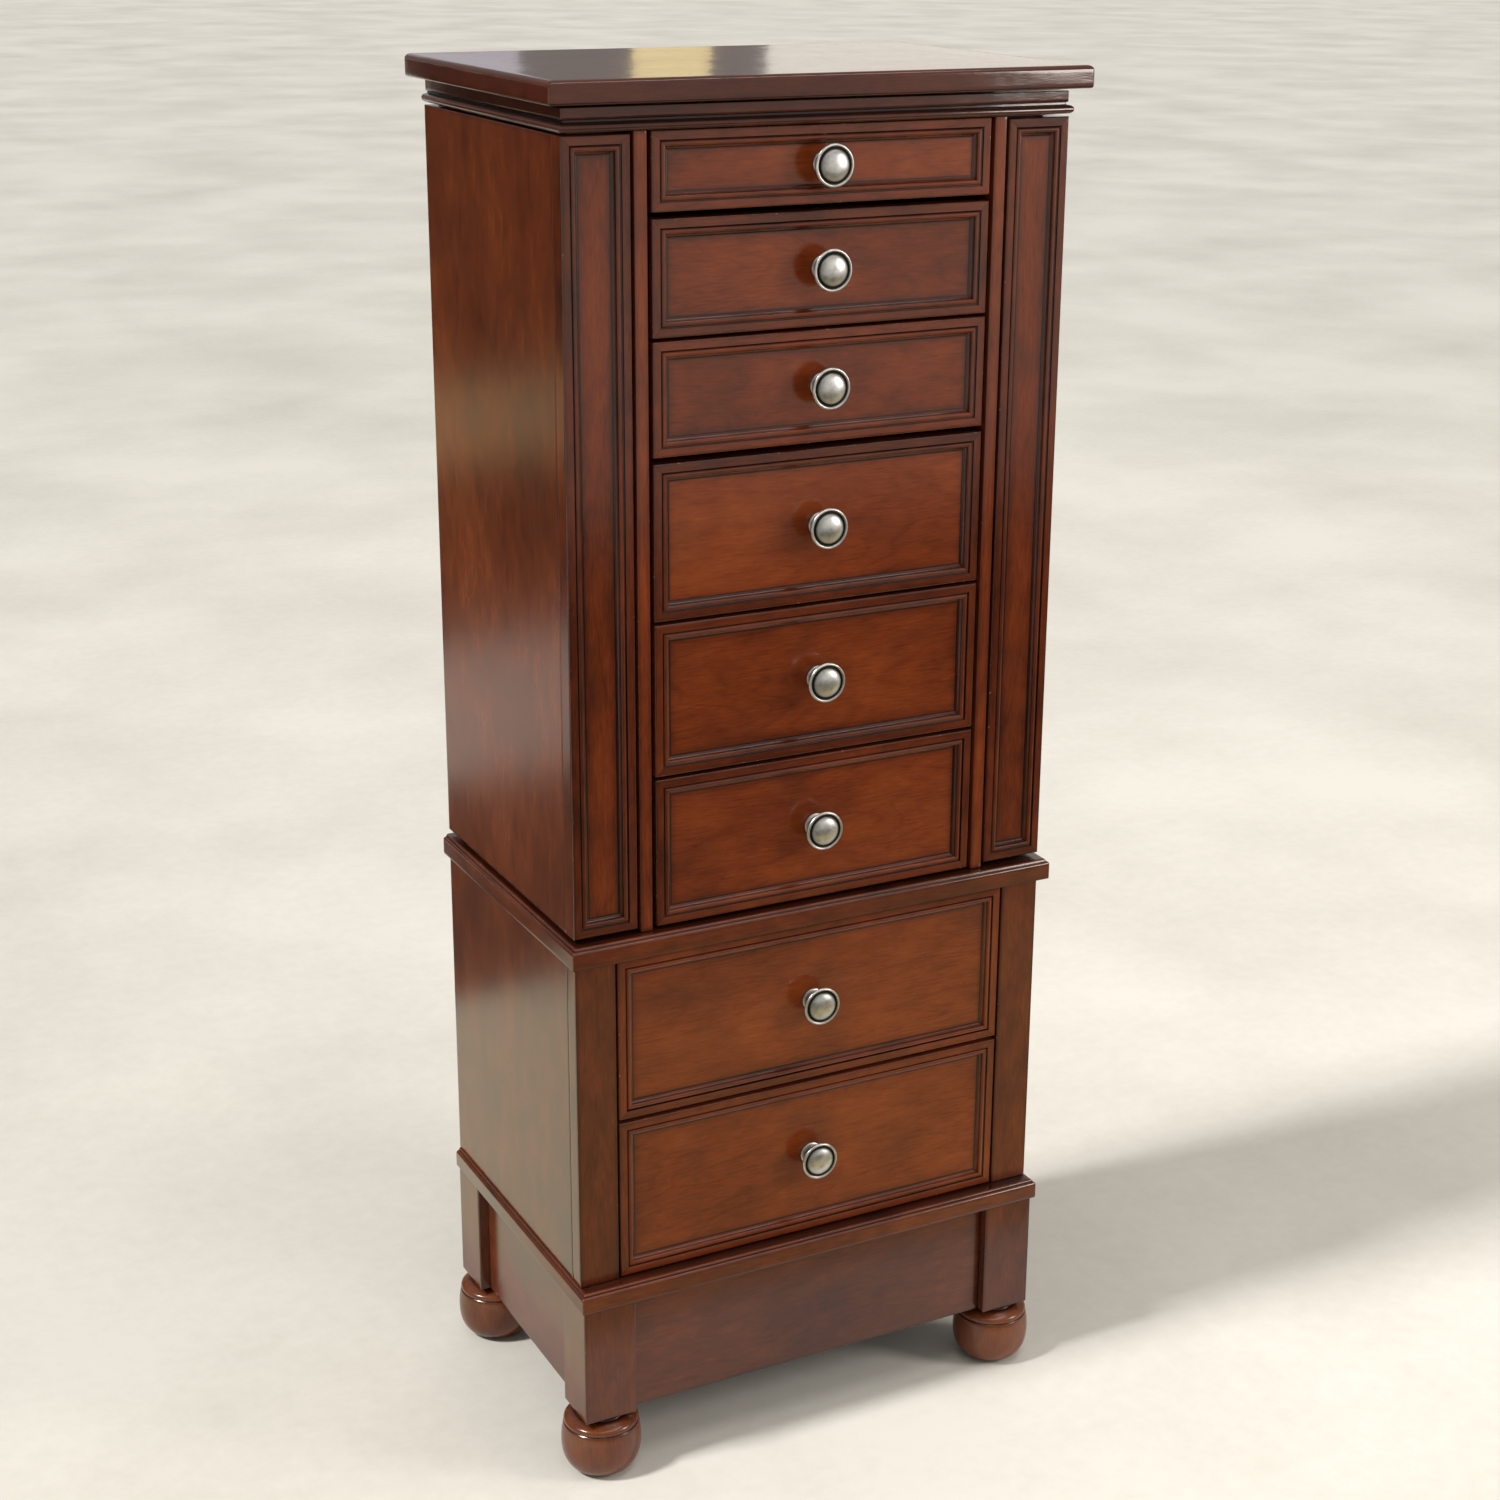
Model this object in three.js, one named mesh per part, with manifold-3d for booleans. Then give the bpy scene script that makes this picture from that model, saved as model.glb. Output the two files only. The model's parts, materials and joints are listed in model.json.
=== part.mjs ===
// A free-standing jewelry armoire in stained wood.
// The lid lifts on a rear hinge over a shallow compartment behind a fixed false front. Five
// drawers stand between two L-shaped doors, each a side panel with a front pilaster, hinged at
// the back. Two wide drawers fill the lower case, and a plinth stands on four bun feet.
// Millimetres. +Z is up, -Y is the front and +X is the right side for someone facing the front.
// The origin is midway between the four feet, on the floor.

import * as THREE from "three";
import { mergeVertices } from "three/addons/utils/BufferGeometryUtils.js";
import Module from "manifold-3d";

const wasm = await Module();
wasm.setup();

// ---------------------------------------------------------------- driving dimensions

// Case. Depths are counted from the face of the drawer fronts, which is y = 0 below.
const CASE_WIDTH = 382;
const CASE_DEPTH = 245;
const SIDE_THICKNESS = 10;
const BACK_THICKNESS = 6;
const JOINT_LINE = 0.2;

// Feet, plinth and base moulding.
const FOOT_HEIGHT = 50;
const FOOT_RADIUS = 30;
const POST_SIZE = 41;
const POST_HEIGHT = 95;
const POST_STEP = 1.2;
const POST_REACH = 9;
const APRON_RECESS = 8;
const APRON_THICKNESS = 14;
const BASE_THICKNESS = 15;
const BASE_OVERHANG = 3.8;
const BASE_REACH = 12.5;

// Waist moulding between the lower and the upper case.
const WAIST_THICKNESS = 15.5;
const WAIST_OVERHANG = 5.3;
const WAIST_REACH = 9.5;

// Drawer fronts, from the widest tier to the false front.
const FRONT_THICKNESS = 15;
const FRONT_GAP = 2.3;
const TIER_GAP = 4.2;
const LOWER_FRONT_HEIGHT = 124;
const LOWER_FRONT_GAP = 2.8;
const LOWER_POST_WIDTH = 30.7;
const LOWER_SIDE_GAP = 1.6;
const LOWER_FLOOR_GAP = 1.2;
const LARGE_FRONT_HEIGHT = 109.1;
const MEDIUM_FRONT_HEIGHT = 77.5;
const SMALL_FRONT_HEIGHT = 52;
const UPPER_SIDE_GAP = 3;
const MOULDING_CLEARANCE = 0.6;

// Pilasters, stiles and side doors.
const PILASTER_WIDTH = 48.5;
const PILASTER_THICKNESS = 14;
const DOOR_GAP = 2.2;
const DOOR_BOTTOM_GAP = 3.5;
const DOOR_TOP_GAP = 2;
const STILE_WIDTH = 9.3;
const STILE_DEPTH = 16;

// Moulded frame round every front: flat band, groove, bead, then a hollow down to the field.
const FRAME_FLAT = 6;
const FRAME_GROOVE = 1.2;
const FRAME_BEAD = 3.2;
const FRAME_HOLLOW = 2.4;
const FIELD_RECESS = 4;

// Drawer boxes and what carries them.
const BOX_WALL = 8;
const BOX_FLOOR = 4;
const BOX_SIDE_INSET = 1.5;
const BOX_LIFT = 8;
const BOX_DROP = 10;
const BOX_REAR_SPACE = 10;
const RUNNER_WIDTH = 10;
const RUNNER_HEIGHT = 5;
const RUNNER_CLEARANCE = 0.5;
const RAIL_HEIGHT = 12;
const RAIL_DEPTH = 26;

// Top: moulding ring, deck, lid compartment and lid.
const FRIEZE_HEIGHT = 15.5;
const TOP_RING_THICKNESS = 12;
const BEAD_REACH = 3.1;
const FRIEZE_STEP = 0.8;
const DECK_THICKNESS = 6;
const DECK_CLEARANCE = 1;
const COMPARTMENT_FLOOR = 5;
const COMPARTMENT_LIFT = 1;
const LID_THICKNESS = 15.5;
const LID_OVERHANG = 12;
const LID_REACH = 11.9;
const LID_REAR_REACH = 5.4;
const LID_GAP = 2;
const MIRROR_FRAME_WIDTH = 18;
const MIRROR_FRAME_HEIGHT = 7;
const MIRROR_MARGIN = 26;
const MIRROR_THICKNESS = 3;
const ROLL_RADIUS = 9;
const ROLL_COUNT = 4;
const ROLL_SIDE_SPACE = 4;

// Knobs.
const KNOB_RADIUS = 14.5;
const KNOB_LENGTH = 18.5;
const KNOB_FOOT_RADIUS = 8.7;
const KNOB_NECK_RADIUS = 5;

// Hinges: each is a pair of long leaves round one pin line.
const HINGE_RADIUS = 2.3;
const HINGE_LEAF = 1.2;
const HINGE_CLEARANCE = 0.3;
const LEAF_TUCK = 0.6;
const DOOR_HINGE_LENGTH = 420;
const DOOR_LEAF_WIDTH = 16;
const LID_HINGE_LENGTH = 260;
const LID_LEAF_WIDTH = 14;

// Door furniture.
const TRAY_HEIGHT = 24;
const TRAY_WALL = 4;
const TRAY_CLEARANCE = 3;
const TRAY_REAR_SPACE = 16;
const STRIP_HEIGHT = 14;
const STRIP_THICKNESS = 1.5;
const STRIP_DROP = 22;
const STRIP_END_SPACE = 25.4;
const HOOK_COUNT = 6;
const HOOK_ROD = 1.4;
const HOOK_REACH = 12;
const HOOK_TIP = 7;

// ---------------------------------------------------------------- derived levels and planes

const HALF_WIDTH = CASE_WIDTH / 2;
const PLINTH_BOTTOM = FOOT_HEIGHT;
const BASE_BOTTOM = PLINTH_BOTTOM + POST_HEIGHT;
const BASE_TOP = BASE_BOTTOM + BASE_THICKNESS;
const DRAWER_8_BOTTOM = BASE_TOP + LOWER_FLOOR_GAP;
const DRAWER_7_BOTTOM = DRAWER_8_BOTTOM + LOWER_FRONT_HEIGHT + LOWER_FRONT_GAP;
const WAIST_BOTTOM = DRAWER_7_BOTTOM + LOWER_FRONT_HEIGHT + LOWER_FRONT_GAP + MOULDING_CLEARANCE;
const WAIST_TOP = WAIST_BOTTOM + WAIST_THICKNESS;

// Upper fronts from the bottom up, each with its height and the gap under it.
const UPPER_TIERS = [
  { name: "drawer_6", height: LARGE_FRONT_HEIGHT, gap: FRONT_GAP },
  { name: "drawer_5", height: LARGE_FRONT_HEIGHT, gap: FRONT_GAP },
  { name: "drawer_4", height: LARGE_FRONT_HEIGHT, gap: FRONT_GAP },
  { name: "drawer_3", height: MEDIUM_FRONT_HEIGHT, gap: TIER_GAP },
  { name: "drawer_2", height: MEDIUM_FRONT_HEIGHT, gap: FRONT_GAP },
  { name: "compartment", height: SMALL_FRONT_HEIGHT, gap: TIER_GAP },
];
let level = WAIST_TOP;
for (const tier of UPPER_TIERS) {
  tier.bottom = level + tier.gap;
  tier.top = tier.bottom + tier.height;
  level = tier.top;
}
const FALSE_FRONT = UPPER_TIERS[UPPER_TIERS.length - 1];

const TOP_RING_BOTTOM = level + MOULDING_CLEARANCE;
const TOP_RING_TOP = TOP_RING_BOTTOM + FRIEZE_HEIGHT;
const LID_BOTTOM = TOP_RING_TOP + LID_GAP;
const DOOR_BOTTOM = WAIST_TOP + DOOR_BOTTOM_GAP;
const DOOR_TOP = TOP_RING_BOTTOM - DOOR_TOP_GAP;
const DECK_TOP = TOP_RING_BOTTOM - JOINT_LINE;
const DECK_BOTTOM = DECK_TOP - DECK_THICKNESS;

const PILASTER_INNER = HALF_WIDTH - PILASTER_WIDTH;
const STILE_OUTER = PILASTER_INNER - DOOR_GAP;
const STILE_INNER = STILE_OUTER - STILE_WIDTH;
const UPPER_FRONT_HALF = STILE_INNER - UPPER_SIDE_GAP;
const INNER_SIDE_OUTER = STILE_INNER + SIDE_THICKNESS;
const DOOR_PANEL_INNER = HALF_WIDTH - SIDE_THICKNESS;
const LOWER_POST_INNER = HALF_WIDTH - LOWER_POST_WIDTH;
const LOWER_FRONT_HALF = LOWER_POST_INNER - LOWER_SIDE_GAP;
const BACK_FACE = CASE_DEPTH;
const BACK_INNER = CASE_DEPTH - BACK_THICKNESS;
const INTERIOR_FRONT = STILE_DEPTH + JOINT_LINE;
const COMPARTMENT_BASE = FALSE_FRONT.bottom + COMPARTMENT_LIFT;
const POST_HALF = HALF_WIDTH + POST_STEP;
const POST_REAR = CASE_DEPTH;

const HINGE_Y = BACK_FACE + HINGE_RADIUS + HINGE_CLEARANCE;
const DOOR_HINGE_X = HALF_WIDTH - SIDE_THICKNESS / 2;
const LID_HINGE_Z = LID_BOTTOM - HINGE_RADIUS - HINGE_CLEARANCE;

// ---------------------------------------------------------------- materials

function finish(name, color, roughness, metalness) {
  const material = new THREE.MeshStandardMaterial({ color, roughness, metalness });
  material.name = name;
  return material;
}

const cherry = () => finish("cherry", 0x54241a, 0.35, 0);
const cherryFront = () => finish("cherry_front", 0x6b3120, 0.35, 0);
const drawerWood = () => finish("drawer_wood", 0x5a3422, 0.6, 0);
const pewter = () => finish("pewter", 0x9a978f, 0.3, 1);
const brass = () => finish("brass", 0xb08d4a, 0.35, 1);
const mirrorGlass = () => finish("mirror", 0xdfe5e8, 0.03, 1);
const velvet = () => finish("velvet", 0x2b0d12, 0.95, 0);

// ---------------------------------------------------------------- solids

function toSolid(geometry) {
  const bare = geometry.clone();
  bare.deleteAttribute("normal");
  bare.deleteAttribute("uv");
  const merged = mergeVertices(bare, 1e-4);
  return new wasm.Manifold(new wasm.Mesh({
    numProp: 3,
    vertProperties: new Float32Array(merged.attributes.position.array),
    triVerts: new Uint32Array(merged.index.array),
  }));
}

function toGeometry(solid) {
  const mesh = solid.getMesh();
  const geometry = new THREE.BufferGeometry();
  geometry.setAttribute("position", new THREE.BufferAttribute(mesh.vertProperties, 3));
  geometry.setIndex(new THREE.BufferAttribute(mesh.triVerts, 1));
  geometry.computeVertexNormals();
  return geometry;
}

function joined(first, ...others) {
  let solid = toSolid(first);
  for (const other of others) solid = solid.add(toSolid(other));
  return toGeometry(solid);
}

function cut(first, ...others) {
  let solid = toSolid(first);
  for (const other of others) solid = solid.subtract(toSolid(other));
  return toGeometry(solid);
}

// A box between two corners.
function block([x0, x1], [y0, y1], [z0, z1]) {
  const geometry = new THREE.BoxGeometry(x1 - x0, y1 - y0, z1 - z0);
  geometry.translate((x0 + x1) / 2, (y0 + y1) / 2, (z0 + z1) / 2);
  return geometry;
}

// A closed stack of rectangles, each { x: [x0, x1], y: [y0, y1], z }.
function stack(rings) {
  const points = [];
  for (const { x, y, z } of rings) {
    points.push(x[0], y[0], z, x[1], y[0], z, x[1], y[1], z, x[0], y[1], z);
  }
  const faces = [0, 2, 1, 0, 3, 2];
  for (let ring = 0; ring < rings.length - 1; ring += 1) {
    for (let side = 0; side < 4; side += 1) {
      const a = ring * 4 + side;
      const b = ring * 4 + (side + 1) % 4;
      faces.push(a, b, b + 4, a, b + 4, a + 4);
    }
  }
  const top = (rings.length - 1) * 4;
  faces.push(top, top + 1, top + 2, top, top + 2, top + 3);
  const geometry = new THREE.BufferGeometry();
  geometry.setAttribute("position", new THREE.BufferAttribute(new Float32Array(points), 3));
  geometry.setIndex(faces);
  geometry.computeVertexNormals();
  return geometry;
}

// A board moulded on its front and two ends and straight at the rear.
// The profile lists [inset from the widest line, height], upwards.
function mouldedBoard(halfWidth, reach, rear, profile) {
  return stack(profile.map(([inset, z]) => ({
    x: [-halfWidth + inset, halfWidth - inset],
    y: [-reach + inset, rear],
    z,
  })));
}

// A framed front, face on +Z, centred on the origin, with its back at -thickness.
function framedFront(width, height, thickness) {
  const beadStart = FRAME_FLAT + FRAME_GROOVE;
  const beadEnd = beadStart + FRAME_BEAD;
  const eased = 0.8;
  const profile = [
    [0, -thickness],
    [0, -eased],
    [eased, 0],
    [FRAME_FLAT, 0],
    [FRAME_FLAT + 0.3, -1.1],
    [beadStart, -1.1],
    [beadStart + FRAME_BEAD * 0.25, -0.2],
    [beadStart + FRAME_BEAD * 0.6, -0.1],
    [beadEnd, -1.4],
    [beadEnd + FRAME_HOLLOW * 0.4, -3],
    [beadEnd + FRAME_HOLLOW, -FIELD_RECESS],
  ];
  return stack(profile.map(([inset, z]) => ({
    x: [-width / 2 + inset, width / 2 - inset],
    y: [-height / 2 + inset, height / 2 - inset],
    z,
  })));
}

// ---------------------------------------------------------------- scene graph

const armoire = new THREE.Group();
const frame = new THREE.Group();
frame.position.y = -(POST_REAR - POST_REACH) / 2;
armoire.add(frame);

function place(name, geometry, material, position = [0, 0, 0], rotation = [0, 0, 0]) {
  const mesh = new THREE.Mesh(geometry, material);
  mesh.name = name;
  mesh.position.set(...position);
  mesh.rotation.set(...rotation);
  frame.add(mesh);
  return mesh;
}

// The two sides of the armoire: the name and the sign of x.
const SIDES = [["left", -1], ["right", 1]];

// The span between two distances from the middle, on one side.
function span(sign, inner, outer) {
  return sign < 0 ? [-outer, -inner] : [inner, outer];
}

// ---------------------------------------------------------------- feet, plinth and base

function makeFeet() {
  const neck = 18.5;
  const outline = [
    [0, 0],
    [16, 0],
    [22.5, 2.5],
    [27, 8.5],
    [FOOT_RADIUS - 0.6, 16],
    [FOOT_RADIUS, 24],
    [FOOT_RADIUS - 0.5, 32],
    [FOOT_RADIUS - 1.7, 38.4],
    [FOOT_RADIUS - 2.6, 39.2],
    [FOOT_RADIUS - 1.9, 40.4],
    [FOOT_RADIUS - 2, 42.4],
    [FOOT_RADIUS - 3.4, 44],
    [neck + 3.5, 46],
    [neck, 47.2],
    [neck, FOOT_HEIGHT - JOINT_LINE],
    [0, FOOT_HEIGHT - JOINT_LINE],
  ];
  const profile = outline.map(([radius, height]) => new THREE.Vector2(radius, height));
  const centreX = POST_HALF - POST_SIZE / 2;
  const rows = [["front", -POST_REACH + POST_SIZE / 2], ["rear", POST_REAR - POST_SIZE / 2]];
  for (const [row, y] of rows) {
    for (const [side, sign] of SIDES) {
      const geometry = new THREE.LatheGeometry(profile, 20);
      place(`foot_${row}_${side}`, geometry, cherry(), [sign * centreX, y, 0], [Math.PI / 2, 0, 0]);
    }
  }
}

function makePlinth() {
  const height = [PLINTH_BOTTOM, BASE_BOTTOM - JOINT_LINE];
  const inset = POST_HALF - APRON_RECESS;
  const front = -POST_REACH + APRON_RECESS;
  const rear = POST_REAR - APRON_RECESS;
  const ring = cut(
    block([-inset, inset], [front, rear], height),
    block(
      [-inset + APRON_THICKNESS, inset - APRON_THICKNESS],
      [front + APRON_THICKNESS, rear - APRON_THICKNESS],
      [height[0] - 1, height[1] + 1],
    ),
  );
  const posts = [];
  for (const sign of [-1, 1]) {
    const x = span(sign, POST_HALF - POST_SIZE, POST_HALF);
    posts.push(block(x, [-POST_REACH, -POST_REACH + POST_SIZE], height));
    posts.push(block(x, [POST_REAR - POST_SIZE, POST_REAR], height));
  }
  place("plinth", joined(ring, ...posts), cherry());
}

function makeBase() {
  const z = BASE_BOTTOM;
  const profile = [
    [0.6, z],
    [0, z + 0.8],
    [0, z + BASE_THICKNESS - 4.4],
    [0.6, z + BASE_THICKNESS - 2.8],
    [1.9, z + BASE_THICKNESS - 1.8],
    [2.5, z + BASE_THICKNESS - 1.1],
    [3.2, z + BASE_THICKNESS - 0.2],
    [3.8, z + BASE_THICKNESS],
  ];
  const board = mouldedBoard(HALF_WIDTH + BASE_OVERHANG, BASE_REACH, CASE_DEPTH, profile);
  place("base_moulding", board, cherry());
}

// ---------------------------------------------------------------- lower case

const LOWER_SIDE_FRONT = PILASTER_THICKNESS + JOINT_LINE;
const RAIL_END = INTERIOR_FRONT + RAIL_DEPTH;
const LOWER_BOX_HALF = LOWER_FRONT_HALF - BOX_SIDE_INSET;

// Height of the top of the runner under a box whose front starts at the given level.
function runnerTop(frontBottom) {
  return frontBottom + BOX_LIFT - RUNNER_CLEARANCE;
}

function makeLowerCase() {
  const height = [BASE_TOP + JOINT_LINE, WAIST_BOTTOM - JOINT_LINE];
  for (const [side, sign] of SIDES) {
    const panel = block(
      span(sign, DOOR_PANEL_INNER, HALF_WIDTH),
      [LOWER_SIDE_FRONT, BACK_FACE],
      height,
    );
    const runners = [DRAWER_7_BOTTOM, DRAWER_8_BOTTOM].map((bottom) => block(
      span(sign, LOWER_BOX_HALF - RUNNER_WIDTH, DOOR_PANEL_INNER + 1),
      [RAIL_END, BACK_INNER - JOINT_LINE],
      [runnerTop(bottom) - RUNNER_HEIGHT, runnerTop(bottom)],
    ));
    place(`lower_side_${side}`, joined(panel, ...runners), cherry());
  }
  const posts = [-1, 1].map((sign) => block(
    span(sign, LOWER_POST_INNER, HALF_WIDTH),
    [0, PILASTER_THICKNESS],
    height,
  ));
  const legs = [-1, 1].map((sign) => block(
    span(sign, LOWER_POST_INNER, DOOR_PANEL_INNER - JOINT_LINE),
    [PILASTER_THICKNESS - 1, RAIL_END - JOINT_LINE],
    height,
  ));
  const railTop = runnerTop(DRAWER_7_BOTTOM);
  const rail = block(
    [-LOWER_POST_INNER - 1, LOWER_POST_INNER + 1],
    [INTERIOR_FRONT, RAIL_END - JOINT_LINE],
    [railTop - RAIL_HEIGHT, railTop],
  );
  place("lower_face_frame", joined(rail, ...legs, ...posts), cherry());
  const back = block(
    [-DOOR_PANEL_INNER + JOINT_LINE, DOOR_PANEL_INNER - JOINT_LINE],
    [BACK_INNER, BACK_FACE],
    height,
  );
  place("lower_back", back, cherry());
}

function makeWaist() {
  const z = WAIST_BOTTOM;
  const profile = [
    [0.6, z],
    [0, z + 0.7],
    [0, z + WAIST_THICKNESS - 3.8],
    [0.5, z + WAIST_THICKNESS - 2.3],
    [1.8, z + WAIST_THICKNESS - 1.5],
    [2.3, z + WAIST_THICKNESS - 0.8],
    [3, z + WAIST_THICKNESS - 0.2],
    [3.6, z + WAIST_THICKNESS],
  ];
  const board = mouldedBoard(HALF_WIDTH + WAIST_OVERHANG, WAIST_REACH, CASE_DEPTH, profile);
  place("waist_moulding", board, cherry());
}

// ---------------------------------------------------------------- upper case

function makeUpperCase() {
  const bottom = WAIST_TOP + JOINT_LINE;
  const drawers = UPPER_TIERS.filter((tier) => tier !== FALSE_FRONT);
  for (const [side, sign] of SIDES) {
    const panel = block(
      span(sign, STILE_INNER, INNER_SIDE_OUTER),
      [INTERIOR_FRONT, BACK_INNER - JOINT_LINE],
      [bottom, DECK_BOTTOM - JOINT_LINE],
    );
    const runners = drawers.map((tier) => block(
      span(sign, STILE_INNER - RUNNER_WIDTH, STILE_INNER + 1),
      [INTERIOR_FRONT + 1, BACK_INNER - JOINT_LINE],
      [runnerTop(tier.bottom) - RUNNER_HEIGHT, runnerTop(tier.bottom)],
    ));
    place(`divider_${side}`, joined(panel, ...runners), cherry());
    const stile = block(
      span(sign, STILE_INNER, STILE_OUTER),
      [0, STILE_DEPTH],
      [bottom, TOP_RING_BOTTOM - JOINT_LINE],
    );
    place(`stile_${side}`, stile, cherry());
  }
  const back = block(
    [-DOOR_PANEL_INNER + JOINT_LINE * 2, DOOR_PANEL_INNER - JOINT_LINE * 2],
    [BACK_INNER, BACK_FACE],
    [bottom, TOP_RING_BOTTOM - JOINT_LINE],
  );
  place("upper_back", back, cherry());
}

function makeTopCase() {
  const deckHalf = DOOR_PANEL_INNER - DECK_CLEARANCE;
  const deck = cut(
    block([-deckHalf, deckHalf], [INTERIOR_FRONT, BACK_INNER - JOINT_LINE], [DECK_BOTTOM, DECK_TOP]),
    block(
      [-STILE_INNER, STILE_INNER],
      [INTERIOR_FRONT - 1, BACK_INNER - TOP_RING_THICKNESS],
      [DECK_BOTTOM - 1, DECK_TOP + 1],
    ),
  );
  place("top_deck", deck, cherry());

  const half = HALF_WIDTH - FRIEZE_STEP + BEAD_REACH;
  const z = TOP_RING_BOTTOM;
  const profile = [
    [4, z],
    [0.9, z + 0.4],
    [0, z + 2.7],
    [0.5, z + 4.8],
    [2.4, z + 5.9],
    [4.4, z + 6.1],
    [4.4, z + 7.5],
    [BEAD_REACH, z + 8.1],
    [BEAD_REACH, z + FRIEZE_HEIGHT],
  ];
  const ring = cut(
    mouldedBoard(half, BEAD_REACH, CASE_DEPTH, profile),
    block(
      [-HALF_WIDTH + TOP_RING_THICKNESS, HALF_WIDTH - TOP_RING_THICKNESS],
      [TOP_RING_THICKNESS, CASE_DEPTH - TOP_RING_THICKNESS],
      [z - 1, z + FRIEZE_HEIGHT + 1],
    ),
  );
  place("top_moulding", ring, cherry());

  const floor = block(
    [-STILE_INNER + JOINT_LINE, STILE_INNER - JOINT_LINE],
    [INTERIOR_FRONT, BACK_INNER - JOINT_LINE],
    [COMPARTMENT_BASE, COMPARTMENT_BASE + COMPARTMENT_FLOOR],
  );
  place("compartment_floor", floor, drawerWood());
  makeRingRolls();
}

// Padded rolls that grip rings, lying side by side along the front of the compartment.
function makeRingRolls() {
  const shape = new THREE.Shape();
  const pitch = ROLL_RADIUS * 2;
  const length = (STILE_INNER - ROLL_SIDE_SPACE) * 2;
  shape.moveTo(0, 0);
  shape.lineTo(0, ROLL_RADIUS);
  for (let roll = 0; roll < ROLL_COUNT; roll += 1) {
    shape.absarc(roll * pitch + ROLL_RADIUS, ROLL_RADIUS, ROLL_RADIUS - 0.2, Math.PI, 0, true);
  }
  shape.lineTo(pitch * ROLL_COUNT, ROLL_RADIUS);
  shape.lineTo(pitch * ROLL_COUNT, 0);
  const geometry = new THREE.ExtrudeGeometry(shape, {
    depth: length,
    bevelEnabled: false,
    curveSegments: 6,
  });
  const position = [
    -length / 2,
    FRONT_THICKNESS + ROLL_SIDE_SPACE,
    COMPARTMENT_BASE + COMPARTMENT_FLOOR + JOINT_LINE,
  ];
  place("ring_roll_pad", geometry, velvet(), position, [Math.PI / 2, Math.PI / 2, 0]);
}

// ---------------------------------------------------------------- drawers and the false front

function knobGeometry() {
  const outline = [
    [0, 0],
    [KNOB_FOOT_RADIUS, 0],
    [KNOB_FOOT_RADIUS, 1.4],
    [KNOB_NECK_RADIUS, 4.2],
    [KNOB_NECK_RADIUS, 8],
    [KNOB_RADIUS - 2, 12.6],
    [KNOB_RADIUS, 14.2],
    [KNOB_RADIUS - 0.9, 15.9],
    [KNOB_RADIUS - 3, 15.2],
    [KNOB_RADIUS - 6, 17.6],
    [0, KNOB_LENGTH],
  ];
  return new THREE.LatheGeometry(outline.map(([r, h]) => new THREE.Vector2(r, h)), 14);
}

function makeFront(name, halfWidth, bottom, height) {
  const geometry = framedFront(halfWidth * 2, height, FRONT_THICKNESS);
  const centre = bottom + height / 2;
  place(`${name}_front`, geometry, cherryFront(), [0, 0, centre], [Math.PI / 2, 0, 0]);
  const seat = FIELD_RECESS - JOINT_LINE;
  place(`${name}_knob`, knobGeometry(), pewter(), [0, seat, centre], [Math.PI, 0, 0]);
}

function makeBox(name, halfWidth, bottom, height) {
  const front = FRONT_THICKNESS + JOINT_LINE;
  const rear = BACK_INNER - BOX_REAR_SPACE;
  const base = bottom + BOX_LIFT;
  const top = bottom + height - BOX_DROP;
  const box = cut(
    block([-halfWidth, halfWidth], [front, rear], [base, top]),
    block(
      [-halfWidth + BOX_WALL, halfWidth - BOX_WALL],
      [front + BOX_WALL, rear - BOX_WALL],
      [base + BOX_FLOOR, top + 1],
    ),
  );
  place(`${name}_box`, box, drawerWood());
}

function makeDrawers() {
  for (const tier of UPPER_TIERS) {
    makeFront(tier.name, UPPER_FRONT_HALF, tier.bottom, tier.height);
    if (tier !== FALSE_FRONT) {
      makeBox(tier.name, UPPER_FRONT_HALF - BOX_SIDE_INSET, tier.bottom, tier.height);
    }
  }
  for (const [name, bottom] of [["drawer_7", DRAWER_7_BOTTOM], ["drawer_8", DRAWER_8_BOTTOM]]) {
    makeFront(name, LOWER_FRONT_HALF, bottom, LOWER_FRONT_HEIGHT);
    makeBox(name, LOWER_BOX_HALF, bottom, LOWER_FRONT_HEIGHT);
  }
}

// ---------------------------------------------------------------- side doors

// A strip with hooks turned up at their ends, its back on x = 0 and its hooks towards -x.
function hookStrip(length) {
  const spacing = length / HOOK_COUNT;
  let strip = block([-STRIP_THICKNESS, 0], [-length / 2, length / 2], [-STRIP_HEIGHT, 0]);
  const middle = -STRIP_HEIGHT / 2;
  for (let index = 0; index < HOOK_COUNT; index += 1) {
    const y = (index - (HOOK_COUNT - 1) / 2) * spacing;
    const arm = [y - HOOK_ROD, y + HOOK_ROD];
    strip = joined(
      strip,
      block([-HOOK_REACH, -STRIP_THICKNESS + 0.5], arm, [middle - HOOK_ROD, middle + HOOK_ROD]),
      block([-HOOK_REACH, -HOOK_REACH + HOOK_ROD * 2], arm, [middle - HOOK_ROD, middle + HOOK_TIP]),
    );
  }
  return strip;
}

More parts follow.
